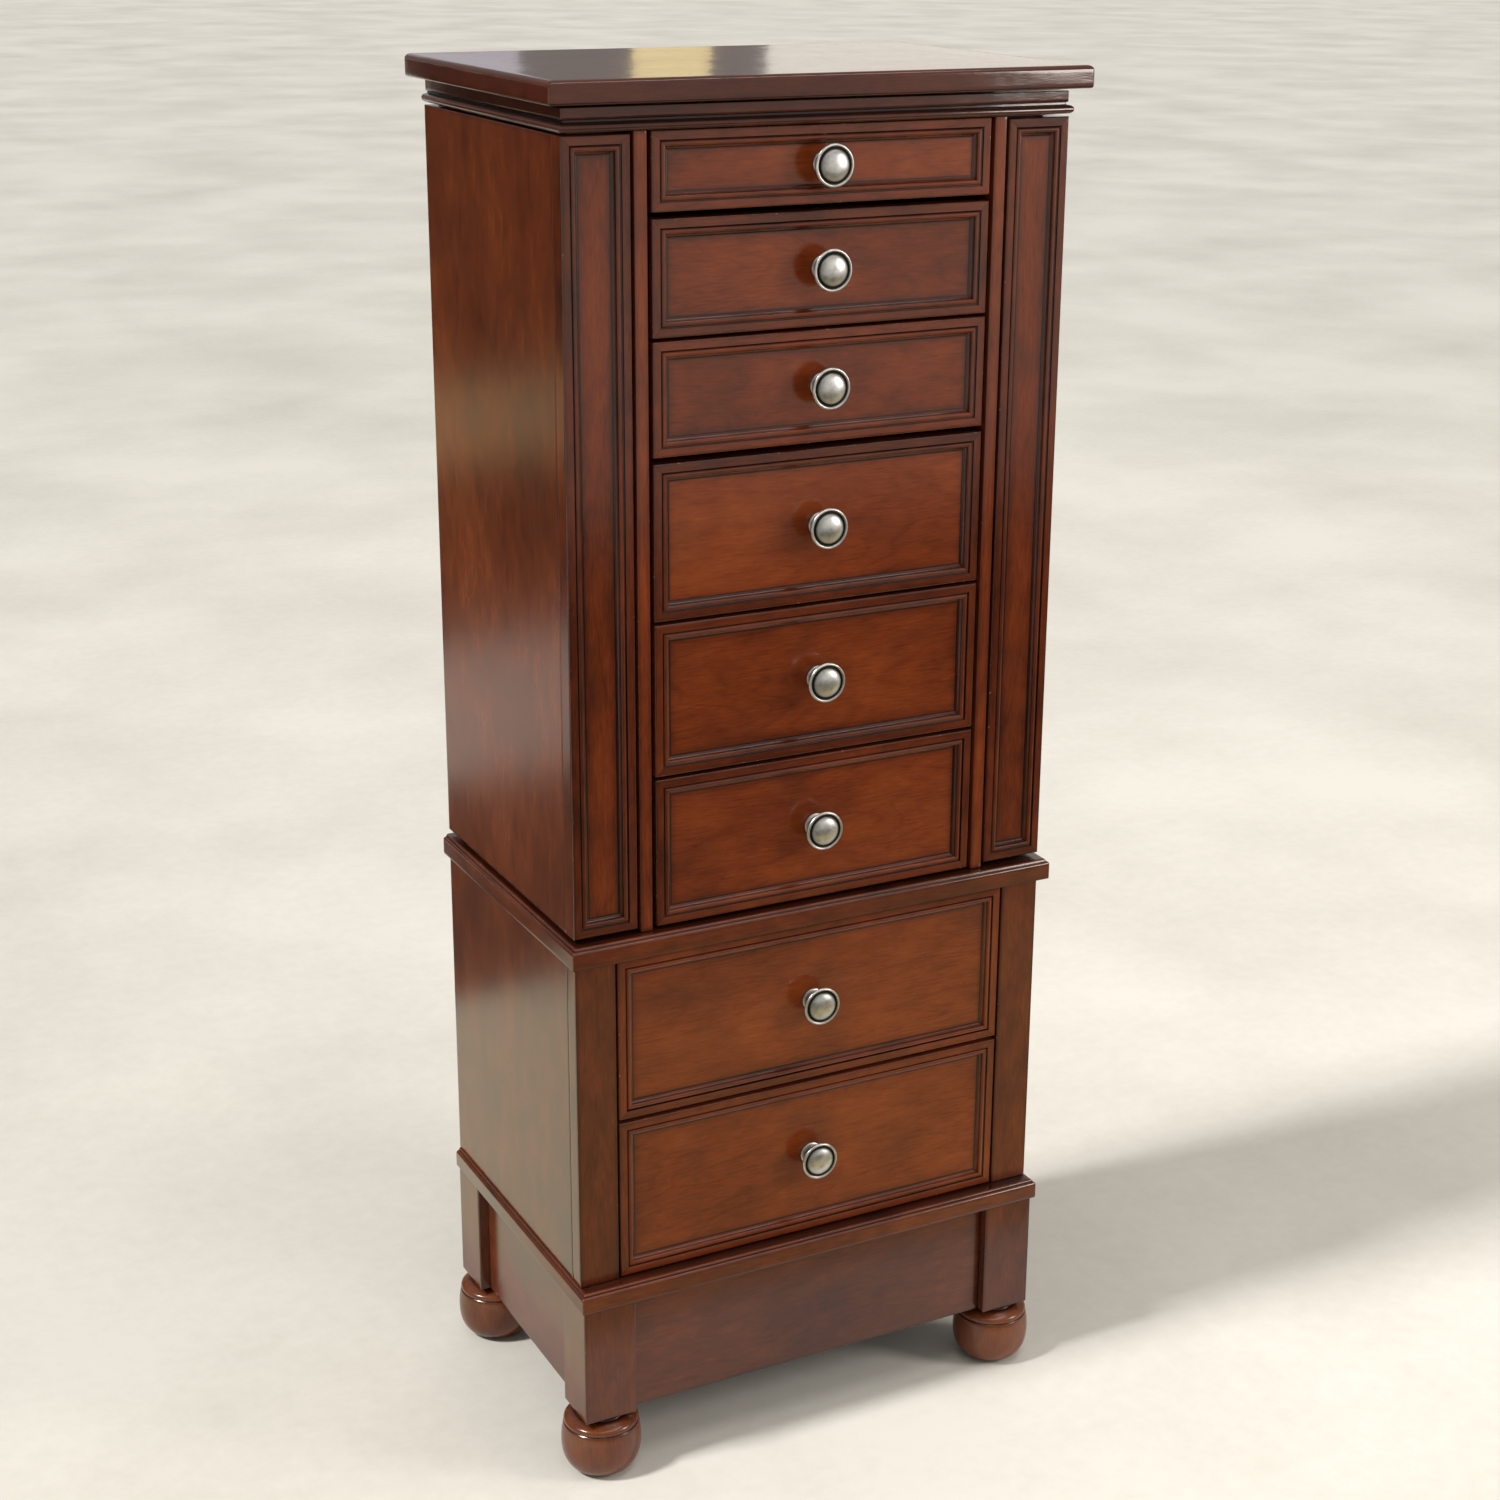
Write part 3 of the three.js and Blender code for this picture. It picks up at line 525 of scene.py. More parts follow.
def wood(name, stops, figure, cloud, gloss, wave=0.0):
    """Stained cherry under lacquer, with dark glaze and painted shade in its recesses and under its
    arrises, and small worn nicks.

    figure is how strong the grain is, cloud how blotchy the stain, gloss the least roughness,
    and wave how deep the slow unevenness of the lacquer is, in metres.
    """
    tree = Tree(name)
    grain = tree.attribute("grain", "Vector")
    glaze = tree.attribute("glaze", "Fac")
    edge = tree.attribute("edge", "Fac")

    clouds = tree.noise(grain, (6, 11, 11), 3.0, 0.5)
    mottle = tree.noise(grain, (34, 70, 70), 3.0, 0.6)
    bruise = tree.span(tree.noise(grain, (13, 16, 16), 2.0, 0.45), 0.52, 0.72)
    growth = tree.noise(grain, (4.5, 22, 22), 2.0, 0.4)
    rings = tree.span(tree.math("SINE", tree.math("MULTIPLY", growth, 90)), 0.55, 1.0)
    fibre = tree.noise(grain, (60, 620, 620), 3.0, 0.65)
    pores = tree.span(tree.noise(grain, (90, 1300, 1300), 2.0, 0.6), 0.55, 0.75)

    tone = tree.add(0.5, clouds, cloud, 0.5)
    tone = tree.add(tone, mottle, cloud * 0.7, 0.5)
    tone = tree.add(tone, rings, -0.17 * figure)
    tone = tree.add(tone, fibre, figure * 1.2, 0.5)
    # Each point's glaze and painted shade darkens the stain here. The near-black colour below lays
    # more of it in quirks, under arrises and on overhung moulding tops.
    tone = tree.add(tone, glaze, -0.5)
    colour = tree.ramp(tone, stops)
    colour = tree.mix(tree.math("MULTIPLY", bruise, cloud * 0.5), colour, BRUISE_COLOUR)
    colour = tree.mix(tree.math("MULTIPLY", pores, 0.3), colour, PORE_COLOUR)

    stain = tree.noise(grain, (60, 60, 60), 3.0)
    held_glaze_and_shade = tree.math("MULTIPLY", glaze, tree.add(0.7, stain, 0.6), clamp=True)
    held_glaze_and_shade = tree.math("MULTIPLY", held_glaze_and_shade, 0.85)
    colour = tree.mix(held_glaze_and_shade, colour, GLAZE_AND_SHADE_COLOUR)

    nick_size = tree.noise(grain, (260, 420, 420), 3.0, 0.65)
    nicks = tree.math("MULTIPLY", tree.span(edge, 0.55, 0.9), tree.span(nick_size, 0.66, 0.7))
    colour = tree.mix(tree.math("MULTIPLY", nicks, 0.55), colour, NICK_COLOUR)

    rough = tree.add(tree.add(gloss, clouds, 0.08), fibre, 0.06)
    height = tree.add(tree.add(fibre, pores, -0.7), nicks, -1.5)
    normal = tree.bump(height, 0.12, 0.00015)
    if wave:
        normal = tree.bump(tree.noise(grain, (16, 22, 22), 3.0, 0.5), 1.0, wave, normal)
    return tree.shade(Base_Color=colour, Roughness=rough, Normal=normal, IOR=1.5)


CHERRY_STOPS = (
    (0.0, (0.018, 0.004, 0.002)),
    (0.28, (0.055, 0.011, 0.004)),
    (0.5, (0.105, 0.022, 0.006)),
    (0.74, (0.180, 0.040, 0.009)),
    (1.0, (0.270, 0.075, 0.016)),
)
LID_STOPS = (
    (0.0, (0.014, 0.004, 0.003)),
    (0.28, (0.040, 0.009, 0.005)),
    (0.5, (0.072, 0.016, 0.008)),
    (0.74, (0.110, 0.027, 0.010)),
    (1.0, (0.170, 0.050, 0.018)),
)
FRONT_STOPS = (
    (0.0, (0.030, 0.006, 0.002)),
    (0.25, (0.085, 0.016, 0.004)),
    (0.5, (0.155, 0.028, 0.006)),
    (0.75, (0.225, 0.048, 0.009)),
    (1.0, (0.310, 0.085, 0.016)),
)
FOOT_STOPS = (
    (0.0, (0.045, 0.010, 0.004)),
    (0.5, (0.150, 0.036, 0.009)),
    (1.0, (0.270, 0.085, 0.020)),
)
BOX_STOPS = (
    (0.0, (0.070, 0.028, 0.014)),
    (0.5, (0.150, 0.066, 0.034)),
    (1.0, (0.240, 0.120, 0.066)),
)

CHERRY = wood("cherry_case", CHERRY_STOPS, figure=0.26, cloud=0.6, gloss=0.11)
CHERRY_TOP = wood("cherry_lid", LID_STOPS, figure=0.24, cloud=0.5, gloss=0.06, wave=0.0006)
CHERRY_FRONT = wood("cherry_front", FRONT_STOPS, figure=0.34, cloud=0.65, gloss=0.1)
CHERRY_FOOT = wood("cherry_foot", FOOT_STOPS, figure=0.3, cloud=0.8, gloss=0.14)
DRAWER_WOOD = wood("drawer_wood", BOX_STOPS, figure=0.4, cloud=0.4, gloss=0.5)


def pewter():
    """Antique pewter: dark in its recesses, with a soft uneven shine."""
    tree = Tree("pewter")
    grain = tree.attribute("grain", "Vector")
    glaze = tree.attribute("glaze", "Fac")
    mottle = tree.noise(grain, (190, 190, 190), 4.0, 0.62)
    fine = tree.noise(grain, (1500, 1500, 1500), 3.0, 0.6)
    worn = tree.add(tree.math("MULTIPLY", fine, 0.3), mottle, 0.7)
    colour = tree.ramp(worn, (
        (0.25, (0.36, 0.35, 0.335)),
        (0.48, (0.60, 0.59, 0.575)),
        (0.75, (0.78, 0.775, 0.765)),
    ))
    dark = tree.math("MULTIPLY", glaze, tree.add(0.7, mottle, 0.6), clamp=True)
    colour = tree.mix(dark, colour, (0.030, 0.027, 0.022, 1))
    rough = tree.add(tree.add(0.26, mottle, 0.2), dark, 0.25)
    normal = tree.bump(worn, 0.22, 0.00015)
    return tree.shade(Base_Color=colour, Metallic=1.0, Roughness=rough, Normal=normal)


def brass(name, bright, dull, shine):
    """Satin metal with tarnish and fine brushing along the grain."""
    tree = Tree(name)
    grain = tree.attribute("grain", "Vector")
    tarnish = tree.noise(grain, (60, 90, 90), 4.0, 0.6)
    brushed = tree.noise(grain, (60, 2600, 2600), 2.0, 0.5)
    colour = tree.ramp(tarnish, ((0.35, dull), (0.6, bright)))
    rough = tree.add(tree.add(shine, tarnish, 0.3), brushed, 0.1)
    glaze = tree.attribute("glaze", "Fac")
    colour = tree.mix(tree.math("MAXIMUM", glaze, 0.0, clamp=True), colour, (0.02, 0.015, 0.01, 1))
    normal = tree.bump(brushed, 0.1, 0.0001)
    return tree.shade(Base_Color=colour, Metallic=1.0, Roughness=rough, Normal=normal)


def flock():
    """Short velvet pile, rubbed one way and the other."""
    tree = Tree("velvet")
    grain = tree.attribute("grain", "Vector")
    rubbed = tree.noise(grain, (28, 44, 44), 3.0, 0.6)
    pile = tree.noise(grain, (3200, 3200, 3200), 2.0, 0.7)
    colour = tree.ramp(
        tree.add(tree.math("MULTIPLY", rubbed, 0.6), pile, 0.4),
        ((0.3, (0.030, 0.004, 0.007)), (0.7, (0.105, 0.012, 0.022))),
    )
    normal = tree.bump(pile, 0.5, 0.0003)
    return tree.shade(
        Base_Color=colour, Roughness=0.95, Normal=normal, Sheen_Weight=0.8,
        Sheen_Roughness=0.35, Sheen_Tint=(0.75, 0.28, 0.33, 1), Specular_IOR_Level=0.15,
    )


def mirror():
    """Silvered glass with a trace of haze."""
    tree = Tree("mirror")
    grain = tree.attribute("grain", "Vector")
    haze = tree.noise(grain, (14, 14, 14), 4.0, 0.6)
    rough = tree.math("MULTIPLY", tree.span(haze, 0.5, 0.9), 0.06)
    colour = tree.ramp(haze, ((0.2, (0.80, 0.84, 0.85)), (0.8, (0.90, 0.93, 0.93))))
    return tree.shade(Base_Color=colour, Metallic=1.0, Roughness=rough)


PEWTER = pewter()
BRASS = brass("brass", (0.52, 0.36, 0.14), (0.30, 0.19, 0.08), 0.24)
STEEL = brass("screw_steel", (0.45, 0.40, 0.30), (0.22, 0.18, 0.13), 0.28)
FLOCK = flock()
MIRROR = mirror()


# ---- fronts and pilasters

FIELD_EDGE = 12.8
FIELD_DEPTH = 4.0


def front_profile(thick):
    """Closed outline of a front's rail: (inset, height, glaze and painted shade, edge)."""
    line = [(0.0, -thick, 0.0, 0), (0.0, -2.2, 0.05, 0), (0.0, -1.0, 0.2, 0.5)]
    line += [(a, b, 0.25, 1.0) for a, b in arc(1.0, -1.0, 1.0, 1.0, 150, 100, 2)]
    line += [(1.0, 0.0, 0.2, 0.8), (2.2, 0.0, 0.08, 0.2), (4.6, 0.0, 0.04, 0)]
    line += [(5.85, 0.0, 0.1, 0.6), (6.05, -0.15, 0.25, 0.6), (6.15, -1.1, 0.8, 0)]
    line += [(6.9, -1.25, 0.8, 0)]
    for a, b in arc(8.65, -1.35, 1.7, 1.25, 172, 8, 8):
        line.append((a, b, 0.3 * min(1.0, max(0.0, -b - 0.1)), 0.35 if b > -0.4 else 0))
    line += [(10.42, -1.75, 0.3, 0)]
    for a, b in arc(12.75, -1.75, 2.25, 2.2, 180, 270, 6)[1:]:
        line.append((a, b, 0.06 + 0.4 * max(0.0, (-b - 2.8) / 1.2), 0))
    line += [(12.75, -thick, 0.5, 0)]
    return line


def framed_front(node, tone=0.0, field_tone=0.0):
    """A front or a pilaster: four mitred rails round a sunken field."""
    low, high = box(node)
    thick = high.y - low.y
    shape = Shape(node + "_wood")
    upright = high.z - low.z > high.x - low.x

    def place(a, b, height):
        return (a, low.y - height, b)

    mitred_frame(
        shape, (low.x, high.x), (low.z, high.z), front_profile(thick), place, (X, Z), tone=tone
    )
    shape.new_board(field_tone)
    loops = []
    levels = [(FIELD_EDGE, -thick, 0.5), (FIELD_EDGE, -FIELD_DEPTH, 0.8)]
    levels += [(13.1, -FIELD_DEPTH, 0.6), (13.8, -FIELD_DEPTH, 0.2), (17, -FIELD_DEPTH, 0.06)]
    levels += [(22, -FIELD_DEPTH, 0.0)]
    for inset, height, glaze in levels:
        corners = (
            (low.x + inset, low.z + inset), (high.x - inset, low.z + inset),
            (high.x - inset, high.z - inset), (low.x + inset, high.z - inset),
        )
        loops.append([(place(a, b, height), glaze, 0) for a, b in corners])
    loft(shape, loops, Z if upright else X)
    return finish(shape, CHERRY_FRONT, node, sharp=28)


KNOB_OUTLINE = (
    (0.0, 0.0, 0.4), (8.0, 0.0, 0.5), (8.7, 0.15, 0.4), (8.7, 0.8, 0.1), (8.45, 1.25, 0.0),
    (7.6, 1.5, 0.2), (6.6, 1.8, 0.7), (5.7, 2.4, 0.9), (5.15, 3.3, 0.75), (4.95, 4.6, 0.6),
    (5.0, 6.0, 0.55), (5.5, 7.5, 0.5), (6.8, 9.0, 0.45), (8.8, 10.4, 0.35), (11.2, 11.6, 0.25),
    (13.2, 12.7, 0.1), (14.15, 13.5, 0.0), (14.48, 14.3, 0.0), (14.4, 15.0, 0.0),
    (13.95, 15.6, 0.0), (13.4, 15.8, 0.0), (12.85, 15.6, 0.1), (12.45, 15.1, 0.7),
    (12.15, 14.6, 1.1), (11.6, 14.4, 1.15), (11.15, 14.6, 1.1), (10.8, 15.1, 0.95),
    (10.4, 15.7, 0.7), (9.7, 16.35, 0.4), (8.6, 16.95, 0.18), (7.2, 17.5, 0.06),
    (5.4, 17.98, 0.0), (3.4, 18.32, 0.0), (1.6, 18.46, 0.0), (0.0, 18.5, 0.0),
)


def make_knob(node):
    low, high = box(node)
    x, z = (low.x + high.x) / 2, (low.z + high.z) / 2
    shape = Shape(node + "_metal")
    line = [(r, h, g, 0.0) for r, h, g in KNOB_OUTLINE]
    lathe(shape, line, lambda a, b, h: (x + a, high.y - h, z + b), Y, steps=64)
    return finish(shape, PEWTER, node, sharp=60)


# Darker or lighter frames and fields, as the stain took on each board.
FRONT_TONES = {
    "compartment": (0.06, -0.16),
    "drawer_2": (0.12, 0.02),
    "drawer_3": (0.06, 0.04),
    "drawer_4": (0.24, -0.12),
    "drawer_5": (0.16, 0.0),
    "drawer_6": (0.16, -0.06),
    "drawer_7": (0.05, -0.06),
    "drawer_8": (0.0, -0.12),
}
for front, (rail_tone, field_tone) in FRONT_TONES.items():
    framed_front(front + "_front", rail_tone, field_tone)
    make_knob(front + "_knob")
for side, _ in SIDES:
    framed_front(side + "_door_pilaster", 0.22, 0.12)


# ---- drawer boxes

BOX_WALL = 8
BOX_FLOOR = 4

for number in range(2, 9):
    node = f"drawer_{number}_box"
    low, high = box(node)
    shape = Shape(node + "_boards")
    open_box(shape, low, high, BOX_WALL, BOX_FLOOR)
    finish(shape, DRAWER_WOOD, node)
    body = BODY_OF[node]
    lined(f"drawer_{number}_flocking", low, high, BOX_WALL, BOX_FLOOR, body)
    shape = Shape(f"drawer_{number}_screw")
    head = ((low.x + high.x) / 2, low.y + BOX_WALL + 0.9, (low.z + high.z) / 2)
    screw(shape, head, (0, 1, 0), 3.4, 1.2)
    finish(shape, STEEL, body=body, slot="brass")


# ---- feet, plinth and mouldings

FOOT_OUTLINE = (
    (0.0, 0.0, 0.2), (14.5, 0.0, 0.4), (16.4, 0.25, 0.5), (19.6, 1.4, 0.3), (23.4, 4.0, 0.1),
    (26.6, 8.2, 0.0), (28.7, 13.2, 0.0), (29.7, 18.6, 0.0), (29.98, 24.0, 0.0),
    (29.8, 29.5, 0.0), (29.2, 34.4, 0.0), (28.4, 38.0, 0.1), (27.8, 38.9, 0.6),
    (27.4, 39.3, 0.9), (27.6, 39.7, 0.5), (28.05, 40.3, 0.05), (28.1, 41.3, 0.0),
    (27.8, 42.4, 0.0), (27.0, 43.5, 0.0), (25.6, 44.4, 0.05), (23.4, 45.5, 0.1),
    (21.2, 46.4, 0.3), (19.4, 46.9, 0.7), (18.5, 47.5, 1.0), (18.45, 48.6, 0.9),
    (18.45, 49.75, 0.8), (0.0, 49.75, 0.5),
)

for row in ("front", "rear"):
    for side in ("left", "right"):
        node = f"foot_{row}_{side}"
        low, high = box(node)
        x, y = (low.x + high.x) / 2, (low.y + high.y) / 2
        shape = Shape(node + "_turned")
        outline = (FOOT_OUTLINE[0], *smooth_line(FOOT_OUTLINE[1:-1], 3), FOOT_OUTLINE[-1])
        line = [(r, h, g, 0.0) for r, h, g in outline]
        lathe(shape, line, lambda a, b, h: (x + a, y + b, h), Z, steps=72)
        finish(shape, CHERRY_FOOT, node, sharp=50)

POST_SIZE = 41
APRON_RECESS = 8
APRON_THICKNESS = 14

low, high = box("plinth")
shape = Shape("plinth_boards")
for x0 in (low.x, high.x - POST_SIZE):
    for y0 in (low.y, high.y - POST_SIZE):
        board(shape, (x0, y0, low.z), (x0 + POST_SIZE, y0 + POST_SIZE, high.z), Z, 1.0)
gap = 0.1
span_x = (low.x + POST_SIZE + gap, high.x - POST_SIZE - gap)
span_y = (low.y + POST_SIZE + gap, high.y - POST_SIZE - gap)
for y0 in (low.y + APRON_RECESS, high.y - APRON_RECESS - APRON_THICKNESS):
    board(shape, (span_x[0], y0, low.z), (span_x[1], y0 + APRON_THICKNESS, high.z), X, 0.8,
          glaze=0.4)
for x0 in (low.x + APRON_RECESS, high.x - APRON_RECESS - APRON_THICKNESS):
    board(shape, (x0, span_y[0], low.z), (x0 + APRON_THICKNESS, span_y[1], high.z), Y, 0.8,
          glaze=0.4)
finish(shape, CHERRY, "plinth")


def stepped_edge(z0, z1, drop):
    """Eased lower arris, flat face, ovolo, a thin quirk and a rounded upper arris. The underside and
    the quirk are darkened with glaze and painted shade.
    """
    line = [(0.6, z0, 0.5, 0.2), (0.12, z0 + 0.25, 0.4, 0.5), (0.0, z0 + 0.8, 0.25, 0.3)]
    line += [(0.0, z0 + 2.4, 0.05, 0), (0.0, z1 - drop - 0.6, 0.02, 0)]
    for a, b in arc(1.9, z1 - drop, 1.9, drop - 1.9, 180, 90, 5):
        line.append((a, b, 0.1, 0.25))
    line += [(2.05, z1 - 1.95, 0.9, 0), (2.2, z1 - 1.3, 1.0, 0), (2.32, z1 - 1.1, 0.3, 0.4)]
    for a, b in arc(3.6, z1 - 1.1, 1.25, 1.1, 170, 90, 5):
        line.append((a, b, 0.06, 0.7))
    return line


# The flat tops of the base and waist mouldings get painted shade (top=0.6) for the shade under the
# drawers and doors that overhang them.
low, high = box("base_moulding")
shape = Shape("base_moulding_board")
moulded_board(shape, high.x, low.y, high.y, stepped_edge(low.z, high.z, 4.4), top=0.6)
finish(shape, CHERRY, "base_moulding", sharp=40)
low, high = box("waist_moulding")
shape = Shape("waist_moulding_board")
moulded_board(shape, high.x, low.y, high.y, stepped_edge(low.z, high.z, 3.8), top=0.6)
finish(shape, CHERRY, "waist_moulding", sharp=40)


# ---- lower case

RUNNER_WIDTH = 10
RUNNER_HEIGHT = 5
SIDE_THICKNESS = 10
RUNNER_DROP = 0.5
RAIL_HEIGHT = 12
RAIL_SETBACK = 16.2
FACE_THICKNESS = 14
FRONT_CLEARANCE = 1.6
LOWER_INSIDE = 181
BACK_THICKNESS = 6.2


def side_board(shape, sign, reach, y, z, axis, ease, **looks):
    """A board at the left or right, between two distances from the middle."""
    x = sorted(sign * distance for distance in reach)
    board(shape, (x[0], y[0], z[0]), (x[1], y[1], z[1]), axis, ease, **looks)


def runner_boards(shape, sign, reach, y, tops):
    """Strips that carry the drawers, on the inner face of a side."""
    for top in tops:
        side_board(shape, sign, reach, y, (top - RUNNER_HEIGHT, top), Y, 0.6, tone=0.2)


def box_bottom(number):
    return box(f"drawer_{number}_box")[0].z - RUNNER_DROP


for side, sign in SIDES:
    node = "lower_side_" + side
    low, high = box(node)
    shape = Shape(node + "_boards")
    inner, outer = sorted((abs(low.x), abs(high.x)))
    y, z = (low.y, high.y), (low.z, high.z)
    side_board(shape, sign, (LOWER_INSIDE, outer), y, z, Z, 0.5, glaze=0.3)
    runner_y = (box("lower_face_frame")[1].y + 0.2, high.y - BACK_THICKNESS)
    tops = (box_bottom(7), box_bottom(8))
    runner_boards(shape, sign, (inner, LOWER_INSIDE - 0.05), runner_y, tops)
    finish(shape, CHERRY, node)

low, high = box("lower_face_frame")
inner = box("drawer_8_front")[1].x + FRONT_CLEARANCE
shape = Shape("lower_face_frame_boards")
post_rear = low.y + FACE_THICKNESS
z = (low.z, high.z)
for _, sign in SIDES:
    side_board(shape, sign, (inner, high.x), (low.y, post_rear), z, Z, 0.6, glaze=0.3)
    y = (post_rear + 0.05, high.y)
    side_board(shape, sign, (inner, LOWER_INSIDE - 0.2), y, z, Z, 0.4)
top = box_bottom(7)
rail_low = (-inner + 0.05, low.y + RAIL_SETBACK, top - RAIL_HEIGHT)
board(shape, rail_low, (inner - 0.05, high.y, top), X, 0.8, tone=0.2)
finish(shape, CHERRY, "lower_face_frame")


SCREW_INSET = 14
SCREW_END = 24


def back_board(node, screws):
    """A thin back panel held by screws along its edges."""
    low, high = box(node)
    shape = Shape(node + "_panel")
    board(shape, low, high, Z, 0.4, glaze=0.3)
    finish(shape, CHERRY, node)
    shape = Shape(node + "_screws")
    for x in (low.x + SCREW_INSET, high.x - SCREW_INSET):
        for step in range(screws):
            z = low.z + SCREW_END + (high.z - low.z - 2 * SCREW_END) * step / (screws - 1)
            screw(shape, (x, high.y + 0.02, z), (0, 1, 0), 2.6, 0.9)
    finish(shape, STEEL, body="case", slot="brass")


back_board("lower_back", 3)


# ---- upper case

for side, sign in SIDES:
    node = "divider_" + side
    low, high = box(node)
    outer = max(abs(low.x), abs(high.x))
    inner = outer - SIDE_THICKNESS
    shape = Shape(node + "_boards")
    y, z = (low.y, high.y), (low.z, high.z)
    side_board(shape, sign, (inner, outer), y, z, Z, 0.5, tone=0.1)
    tops = [box_bottom(number) for number in range(2, 7)]
    reach = (inner - RUNNER_WIDTH, inner - 0.05)
    runner_boards(shape, sign, reach, (low.y + 1, high.y), tops)
    finish(shape, CHERRY, node)
    node = "stile_" + side
    low, high = box(node)
    shape = Shape(node + "_board")
    board(shape, low, high, Z, 0.7, glaze=0.3)
    finish(shape, CHERRY_FRONT, node)

back_board("upper_back", 5)

RING_WALL = 12
low, high = box("top_deck")
shape = Shape("top_deck_boards")
inner = box("stile_right")[0].x
rear = high.y - RING_WALL + BACK_THICKNESS
for _, sign in SIDES:
    side_board(shape, sign, (inner, high.x), (low.y, high.y), (low.z, high.z), Y, 0.4)
board(shape, (-inner + 0.05, rear, low.z), (inner - 0.05, high.y, high.z), X, 0.4)
finish(shape, CHERRY, "top_deck")


def top_ring():
    """The frieze and bead round the top, one hollow ring. The underside of the bead and the quirk
    above it are darkened with glaze and painted shade.
    """
    low, high = box("top_moulding")
    reach = 3.1
    z = low.z
    line = [(4.0, z, 0.9, 0), (2.0, z + 0.1, 0.6, 0)]
    line += [(a, b, 0.1 + 0.25 * abs(b - z - 2.9) / 3, 0.2)
             for a, b in arc(2.9, z + 2.9, 2.9, 2.8, 250, 100, 9)]
    line += [(3.6, z + 5.9, 0.8, 0), (4.35, z + 6.15, 1.1, 0), (4.4, z + 7.4, 1.1, 0)]
    line += [(3.5, z + 7.75, 0.5, 0.5), (reach, z + 8.3, 0.15, 0.7), (reach, z + 10, 0.05, 0)]
    line += [(reach, high.z - 1.6, 0.1, 0), (reach, high.z - 0.5, 0.3, 0.6)]
    line += [(reach + 0.5, high.z, 0.35, 0.6)]
    half = high.x
    loops = []
    for inset, level, glaze, edge in line:
        along = (low.y + inset, high.y - min(0.4, inset * 0.1))
        loops.append(plan_loop((-half + inset, half - inset), along, level, 1.0, glaze, edge))
    hole_x = (-half + reach + RING_WALL - 0.8, half - reach - RING_WALL + 0.8)
    hole_y = (low.y + reach + RING_WALL, high.y - RING_WALL)
    ease = 0.5
    for inset, level in ((-ease, high.z), (0, high.z - ease), (0, z + ease), (-ease, z)):
        across = (hole_x[0] + inset, hole_x[1] - inset)
        along = (hole_y[0] + inset, hole_y[1] - inset)
        loops.append(plan_loop(across, along, level, 1.0, 0.3))
    shape = Shape("top_moulding_ring")
    loft(shape, loops, plan_axis, ring=True)
    finish(shape, CHERRY_TOP, "top_moulding", sharp=40)


top_ring()

low, high = box("compartment_floor")
shape = Shape("compartment_floor_board")
board(shape, low, high, X, 0.4)
finish(shape, DRAWER_WOOD, "compartment_floor")
roll_low, roll_high = box("ring_roll_pad")
shape = Shape("compartment_flocking")
board(
    shape, (low.x + 0.4, roll_high.y + 0.6, high.z + 0.05),
    (high.x - 0.4, high.y - 0.4, high.z + 0.9), X, 0.4, glaze=0, edge=0,
)
finish(shape, FLOCK, body="case", slot="velvet")


RING_ROLLS = 4
ROLL_END = 7


def ring_rolls():
    """Padded rolls side by side, slightly slack, with the slits between them."""
    shape = Shape("ring_rolls")
    pitch = (roll_high.y - roll_low.y) / RING_ROLLS
    radius = pitch / 2 - 0.15
    length = roll_high.x - roll_low.x - 1.0
    steps, around = 90, 28
    for roll in range(RING_ROLLS):
        shape.new_board()
        centre = roll_low.y + pitch * (roll + 0.5)
        loops = []
        for step in range(steps + 1):
            share = step / steps
            away = min(min(share, 1 - share) * length, ROLL_END)
            full = max(math.sqrt(1 - (1 - away / ROLL_END) ** 2), 0.04)
            x = roll_low.x + 0.5 + share * length
            loop = []
            for turn_step in range(around):
                turn = 2 * math.pi * turn_step / around
                slack = noise.noise(Vector((x * 0.06, roll * 5.0, turn * 0.9)))
                crease = noise.noise(Vector((x * 0.35, roll * 7.0, turn * 1.6)))
                size = radius * full * (0.965 + 0.028 * slack + 0.012 * crease)
                y = centre + size * math.cos(turn)
                z = roll_low.z + radius + size * math.sin(turn)
                loop.append(((x, y, max(z, roll_low.z + 0.1)), 0, 0))
            loops.append(loop)
        loft(shape, loops, X)
    pad = finish(shape, FLOCK, "ring_roll_pad", sharp=80)


ring_rolls()


# ---- side doors

TRAY_WALL = 4
STRIP_PLATE = 1.5
HOOKS = 6
HOOK_WIRE = 0.9
HOOK_BALL = 1.35
HOOK_PATH = (
    (1.0, 0.4), (3.5, 0.2), (6.4, -0.3), (8.9, 0.2), (10.5, 1.9), (10.9, 4.2), (10.6, 6.0),
)


def hook_strip(side, sign):
    """A brass strip with turned-up wire hooks and a screw at each end."""
    node = side + "_hook_strip"
    low, high = box(node)
    wall = high.x if sign > 0 else low.x
    front = wall - sign * STRIP_PLATE
    shape = Shape(node + "_metal")
    x = sorted((wall, front))
    board(shape, (x[0], low.y, low.z), (x[1], high.y, high.z), Y, 0.5, glaze=0, edge=0)
    spacing = (high.y - low.y) / HOOKS
    middle = (low.z + high.z) / 2
    ball = [(b, a, 0, 0) for a, b in arc(0, 0, HOOK_BALL, HOOK_BALL, 0, 180, 9)]
    tip_x, tip_z = wall - sign * 10.5, middle + 5.6
    for index in range(HOOKS):
        y = low.y + spacing * (index + 0.5)
        line = smooth_line(HOOK_PATH, 4)
        path = [(wall - sign * out, y, middle + rise) for out, rise in line]
        tube(shape, path, HOOK_WIRE, Y, 12)
        lathe(shape, ball, lambda a, b, h: (tip_x + a, y + b, tip_z + h), Y, 16)
    for y in (low.y + 5.5, high.y - 5.5):
        screw(shape, (front, y, middle), (-sign, 0, 0), 2.2, 0.7)
    finish(shape, BRASS, node, sharp=40)


